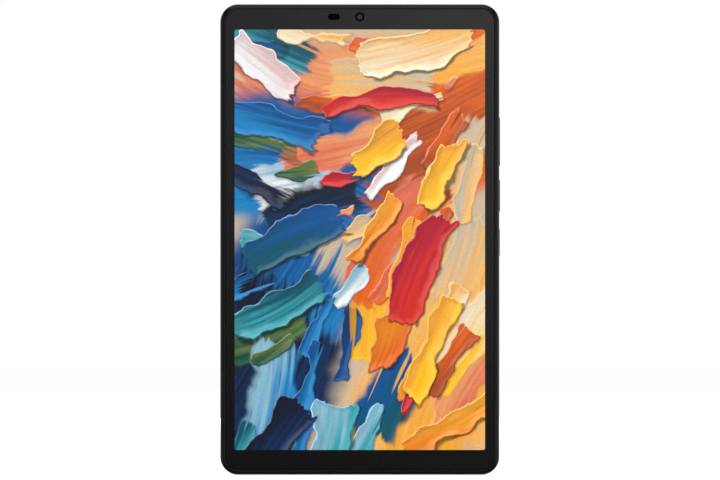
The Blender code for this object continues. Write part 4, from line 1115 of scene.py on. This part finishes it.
def paint_cad_pieces():
    """Gives each CAD piece the look of its material slot, or its own, and rounds the edges of the blocks."""
    looks = {
        "frame": speckled("frame_black", (0.010, 0.010, 0.012), (0.018, 0.018, 0.020), 0.42, 2200.0),
        "black_plastic": speckled("moulded_black", grey(0.006), grey(0.013), 0.5, 2600.0),
        "chip": speckled("chip_resin", (0.01, 0.01, 0.011), (0.022, 0.022, 0.024), 0.55, 4200.0, 0.006 * MM),
        "steel": brushed_look("sheet_steel", (0.42, 0.43, 0.44), (0.62, 0.62, 0.63), 0.30),
        "rubber": speckled("soft_rubber", grey(0.008), grey(0.016), 0.75, 1800.0, 0.01 * MM),
        "dark_metal": brushed_look("module_metal", (0.06, 0.06, 0.065), (0.12, 0.12, 0.13), 0.35),
        "lamp": speckled("lamp_strip", (0.70, 0.62, 0.30), (0.90, 0.85, 0.60), 0.4, 700.0),
        "film": film_look("clear_film", (0.70, 0.73, 0.76), (0.82, 0.85, 0.88), 0.12, 0.6),
        "white_film": film_look("white_film", (0.78, 0.78, 0.80), (0.90, 0.90, 0.91), 0.3, 0.2),
        "circuit_board": board_look(),
        "flex": flex_look(),
        "display": panel_look(),
        "foil": foil_look(),
    }
    for part in frame["record"]["subparts"]:
        if part["material_slot"] in looks:
            paint(looks[part["material_slot"]], part["node"])
    screw_steel = speckled("screw_steel", (0.30, 0.30, 0.31), (0.50, 0.50, 0.52), 0.28, 3000.0, metallic=1.0)
    paint(screw_steel, *(f"screw_{number}" for number in range(1, 7)))
    weave = woven_look("speaker_weave", (0.05, 0.05, 0.055), (0.11, 0.11, 0.12), 0.22 * MM)
    paint(weave, "bottom_speaker_mesh", "top_speaker_mesh")
    chips = ("processor_chip", "storage_chip", "power_chip", "radio_chip")
    soften(0.05 * MM, *chips, "microphone", "eject_lever")
    soften(0.12 * MM, "bottom_speaker", "top_speaker", "headphone_jack", "rear_camera_module")
    soften(0.3 * MM, "battery")


# ---- floor, light and camera

VIEW_WIDTH = 0.3234  # what the frame's width spans at the glass
LENS = 800.0
SENSOR_WIDTH = 36.0
CAMERA_DISTANCE = VIEW_WIDTH * LENS / SENSOR_WIDTH
VIEW_OFFSET = (0.085 * MM, -0.19 * MM)
OBJECT_MIDDLE = (0.0, 0.0, TOP_Z / 2)

# Each lamp: name, place, what it points at, width and height, and power
LAMPS = (
    ("overhead", (0.0, -0.3, 1.9), (0.0, 0.0, 0.0), (2.6, 2.6), 26.0),
    ("front_left", (-1.3, -1.1, 0.9), OBJECT_MIDDLE, (0.9, 0.9), 14.0),
    ("front_right", (1.5, -0.9, 0.7), OBJECT_MIDDLE, (0.8, 0.9), 12.0),
    ("behind", (-0.3, 2.2, 0.5), OBJECT_MIDDLE, (0.9, 0.9), 26.0),
)

# What the gloss reflects: a panel towards each edge of the object, as its axis, its side, and its brightness
# in front of the object and behind it, and then a wall straight out from each long side
EDGE_PANELS = (("x", -1, 0.075, 0.20), ("x", 1, 0.085, 0.42), ("z", 1, 0.43, 0.20), ("z", -1, 0.06, 0.06))
SIDE_WALLS = ((-1, 0.25), (1, 0.55))
# The wall behind the camera, seen in the glass: its half sizes as directions, and its brightness from left
# to right along its bottom and its top
FRONT_WALL_X = 0.067 / CAMERA_DISTANCE
FRONT_WALL_Z = 0.117 / CAMERA_DISTANCE
FRONT_WALL_BOTTOM = (0.115, 0.135)
FRONT_WALL_TOP = (0.55, 0.96)
# The wall behind the object, from its bottom to its top
REAR_WALL = (0.40, 0.16)
WHITE = (1.0, 1.0, 1.0, 1.0)


def reflected_room(nodes):
    """The brightness of the studio that the object's gloss shows, by direction."""
    x, y, z = nodes.wire("ShaderNodeTexCoord", {}, "Generated").parts()
    off_axis = nodes.join(x, z).length()
    towards = {"x": x / off_axis, "z": z / off_axis}
    near = far = 0.0
    for axis, side, near_level, far_level in EDGE_PANELS:
        panel = towards[axis].step(0.72 * side, 0.96 * side)
        near = panel.times_plus(near_level, near)
        far = panel.times_plus(far_level, far)
    behind = y.step(0.2, 0.7)
    level = (far - near).times_plus(behind, near)
    # the wall behind the camera brightens upwards and a little to the right
    bottom = x.step(-FRONT_WALL_X, FRONT_WALL_X, *FRONT_WALL_BOTTOM)
    top = x.step(-FRONT_WALL_X, FRONT_WALL_X, *FRONT_WALL_TOP)
    rise = z.step(-FRONT_WALL_Z, FRONT_WALL_Z, smooth=False) ** 1.15
    wall = (top - bottom).times_plus(rise, bottom)
    share = off_axis.step(0.32, 0.14) * y.step(0.0, -0.2)
    level = level.at_least(wall * share)
    for side, brightness in SIDE_WALLS:
        level = level.at_least(x.step(0.93 * side, 0.995 * side, 0.0, brightness))
    return level.at_least(y.step(0.60, 0.88) * z.step(-0.5, 0.5, *REAR_WALL))


def studio_world():
    """A white backdrop to the camera, and a softly lit room to reflections."""
    world = bpy.data.worlds.new("studio")
    bpy.context.scene.world = world
    world.use_nodes = True
    world.node_tree.nodes.clear()
    nodes = Nodes(world.node_tree)
    level = reflected_room(nodes)
    seen = nodes.wire("ShaderNodeLightPath", {}, "Is Camera Ray")
    room = nodes.wire("ShaderNodeBackground", {"Color": WHITE, "Strength": level})
    backdrop = nodes.wire("ShaderNodeBackground", {"Color": WHITE, "Strength": 1.0})
    surface = nodes.wire("ShaderNodeMixShader", {0: seen, 1: room, 2: backdrop})
    nodes.add("ShaderNodeOutputWorld", {"Surface": surface})


def lamp(name, place, aim, size, power):
    """A soft rectangular lamp that lights the object without showing in its gloss."""
    light = bpy.data.lights.new(name, "AREA")
    light.shape = "RECTANGLE"
    light.size, light.size_y = size
    light.energy = power
    made = placed(name, light)
    made.location = place
    made.rotation_euler = (Vector(aim) - Vector(place)).to_track_quat("-Z", "Y").to_euler()
    made.visible_glossy = False
    made.visible_camera = False


def floor_look():
    look = Look("pale_floor")
    colour = look.blend(look.noise(look.here(), 6.0, 3.0), grey(0.46), grey(0.50))
    look.material.cycles.emission_sampling = "NONE"
    others = {"Specular IOR Level": 0.1, "Emission Color": WHITE, "Emission Strength": 0.86}
    return look.finish(colour, 0.9, others)


def studio():
    studio_world()
    shape = bmesh.new()
    bmesh.ops.create_grid(shape, x_segments=2, y_segments=2, size=6.0)
    floor = object_of("floor", shape)
    floor.data.materials.append(floor_look())
    floor.location.z = -0.05 * MM
    floor.visible_glossy = False
    for settings in LAMPS:
        lamp(*settings)


def camera():
    lens = bpy.data.cameras.new("camera")
    lens.lens = LENS
    lens.sensor_width = SENSOR_WIDTH
    lens.clip_end = 50.0
    made = placed("camera", lens)
    made.location = (VIEW_OFFSET[0], FRONT_Y - CAMERA_DISTANCE, TOP_Z / 2 + VIEW_OFFSET[1])
    made.rotation_euler = (math.radians(90), 0.0, 0.0)
    bpy.context.scene.camera = made


# ---- the scene

graphite = housing_look()
housing(graphite)
glass(front_glass_look())
key("rocker_key", "volume_rocker", graphite, "volume_key", ROCKER_STUDS)
key("power_key", "power_button", graphite, "power_key", POWER_STUDS)
tray(graphite)
gasket(speckled("seal_rubber", grey(0.010), grey(0.020), 0.6, 1500.0, 0.01 * MM))
camera_ring(machined_look("ring_metal", (0.055, 0.056, 0.060), (0.110, 0.112, 0.118), 0.26, REAR_CAMERA))
camera_window(clear_window_look())
focus_barrel(
    speckled("barrel_black", grey(0.004), grey(0.010), 0.35, 3000.0),
    coated_lens_look("rear_lens_coating", REAR_CAMERA, (0.010, 0.030, 0.075), (0.030, 0.006, 0.040)),
)
front_lens(glint_painted_lens_look())
deep_black = deep_black_look()
sensor(deep_black)
port(brushed_look("port_steel", (0.34, 0.34, 0.35), (0.55, 0.55, 0.56), 0.25), tongue_look())
paint_cad_pieces()
paint(deep_black, "front_camera_module")
studio()
camera()

bpy.context.scene.view_settings.view_transform = "Standard"
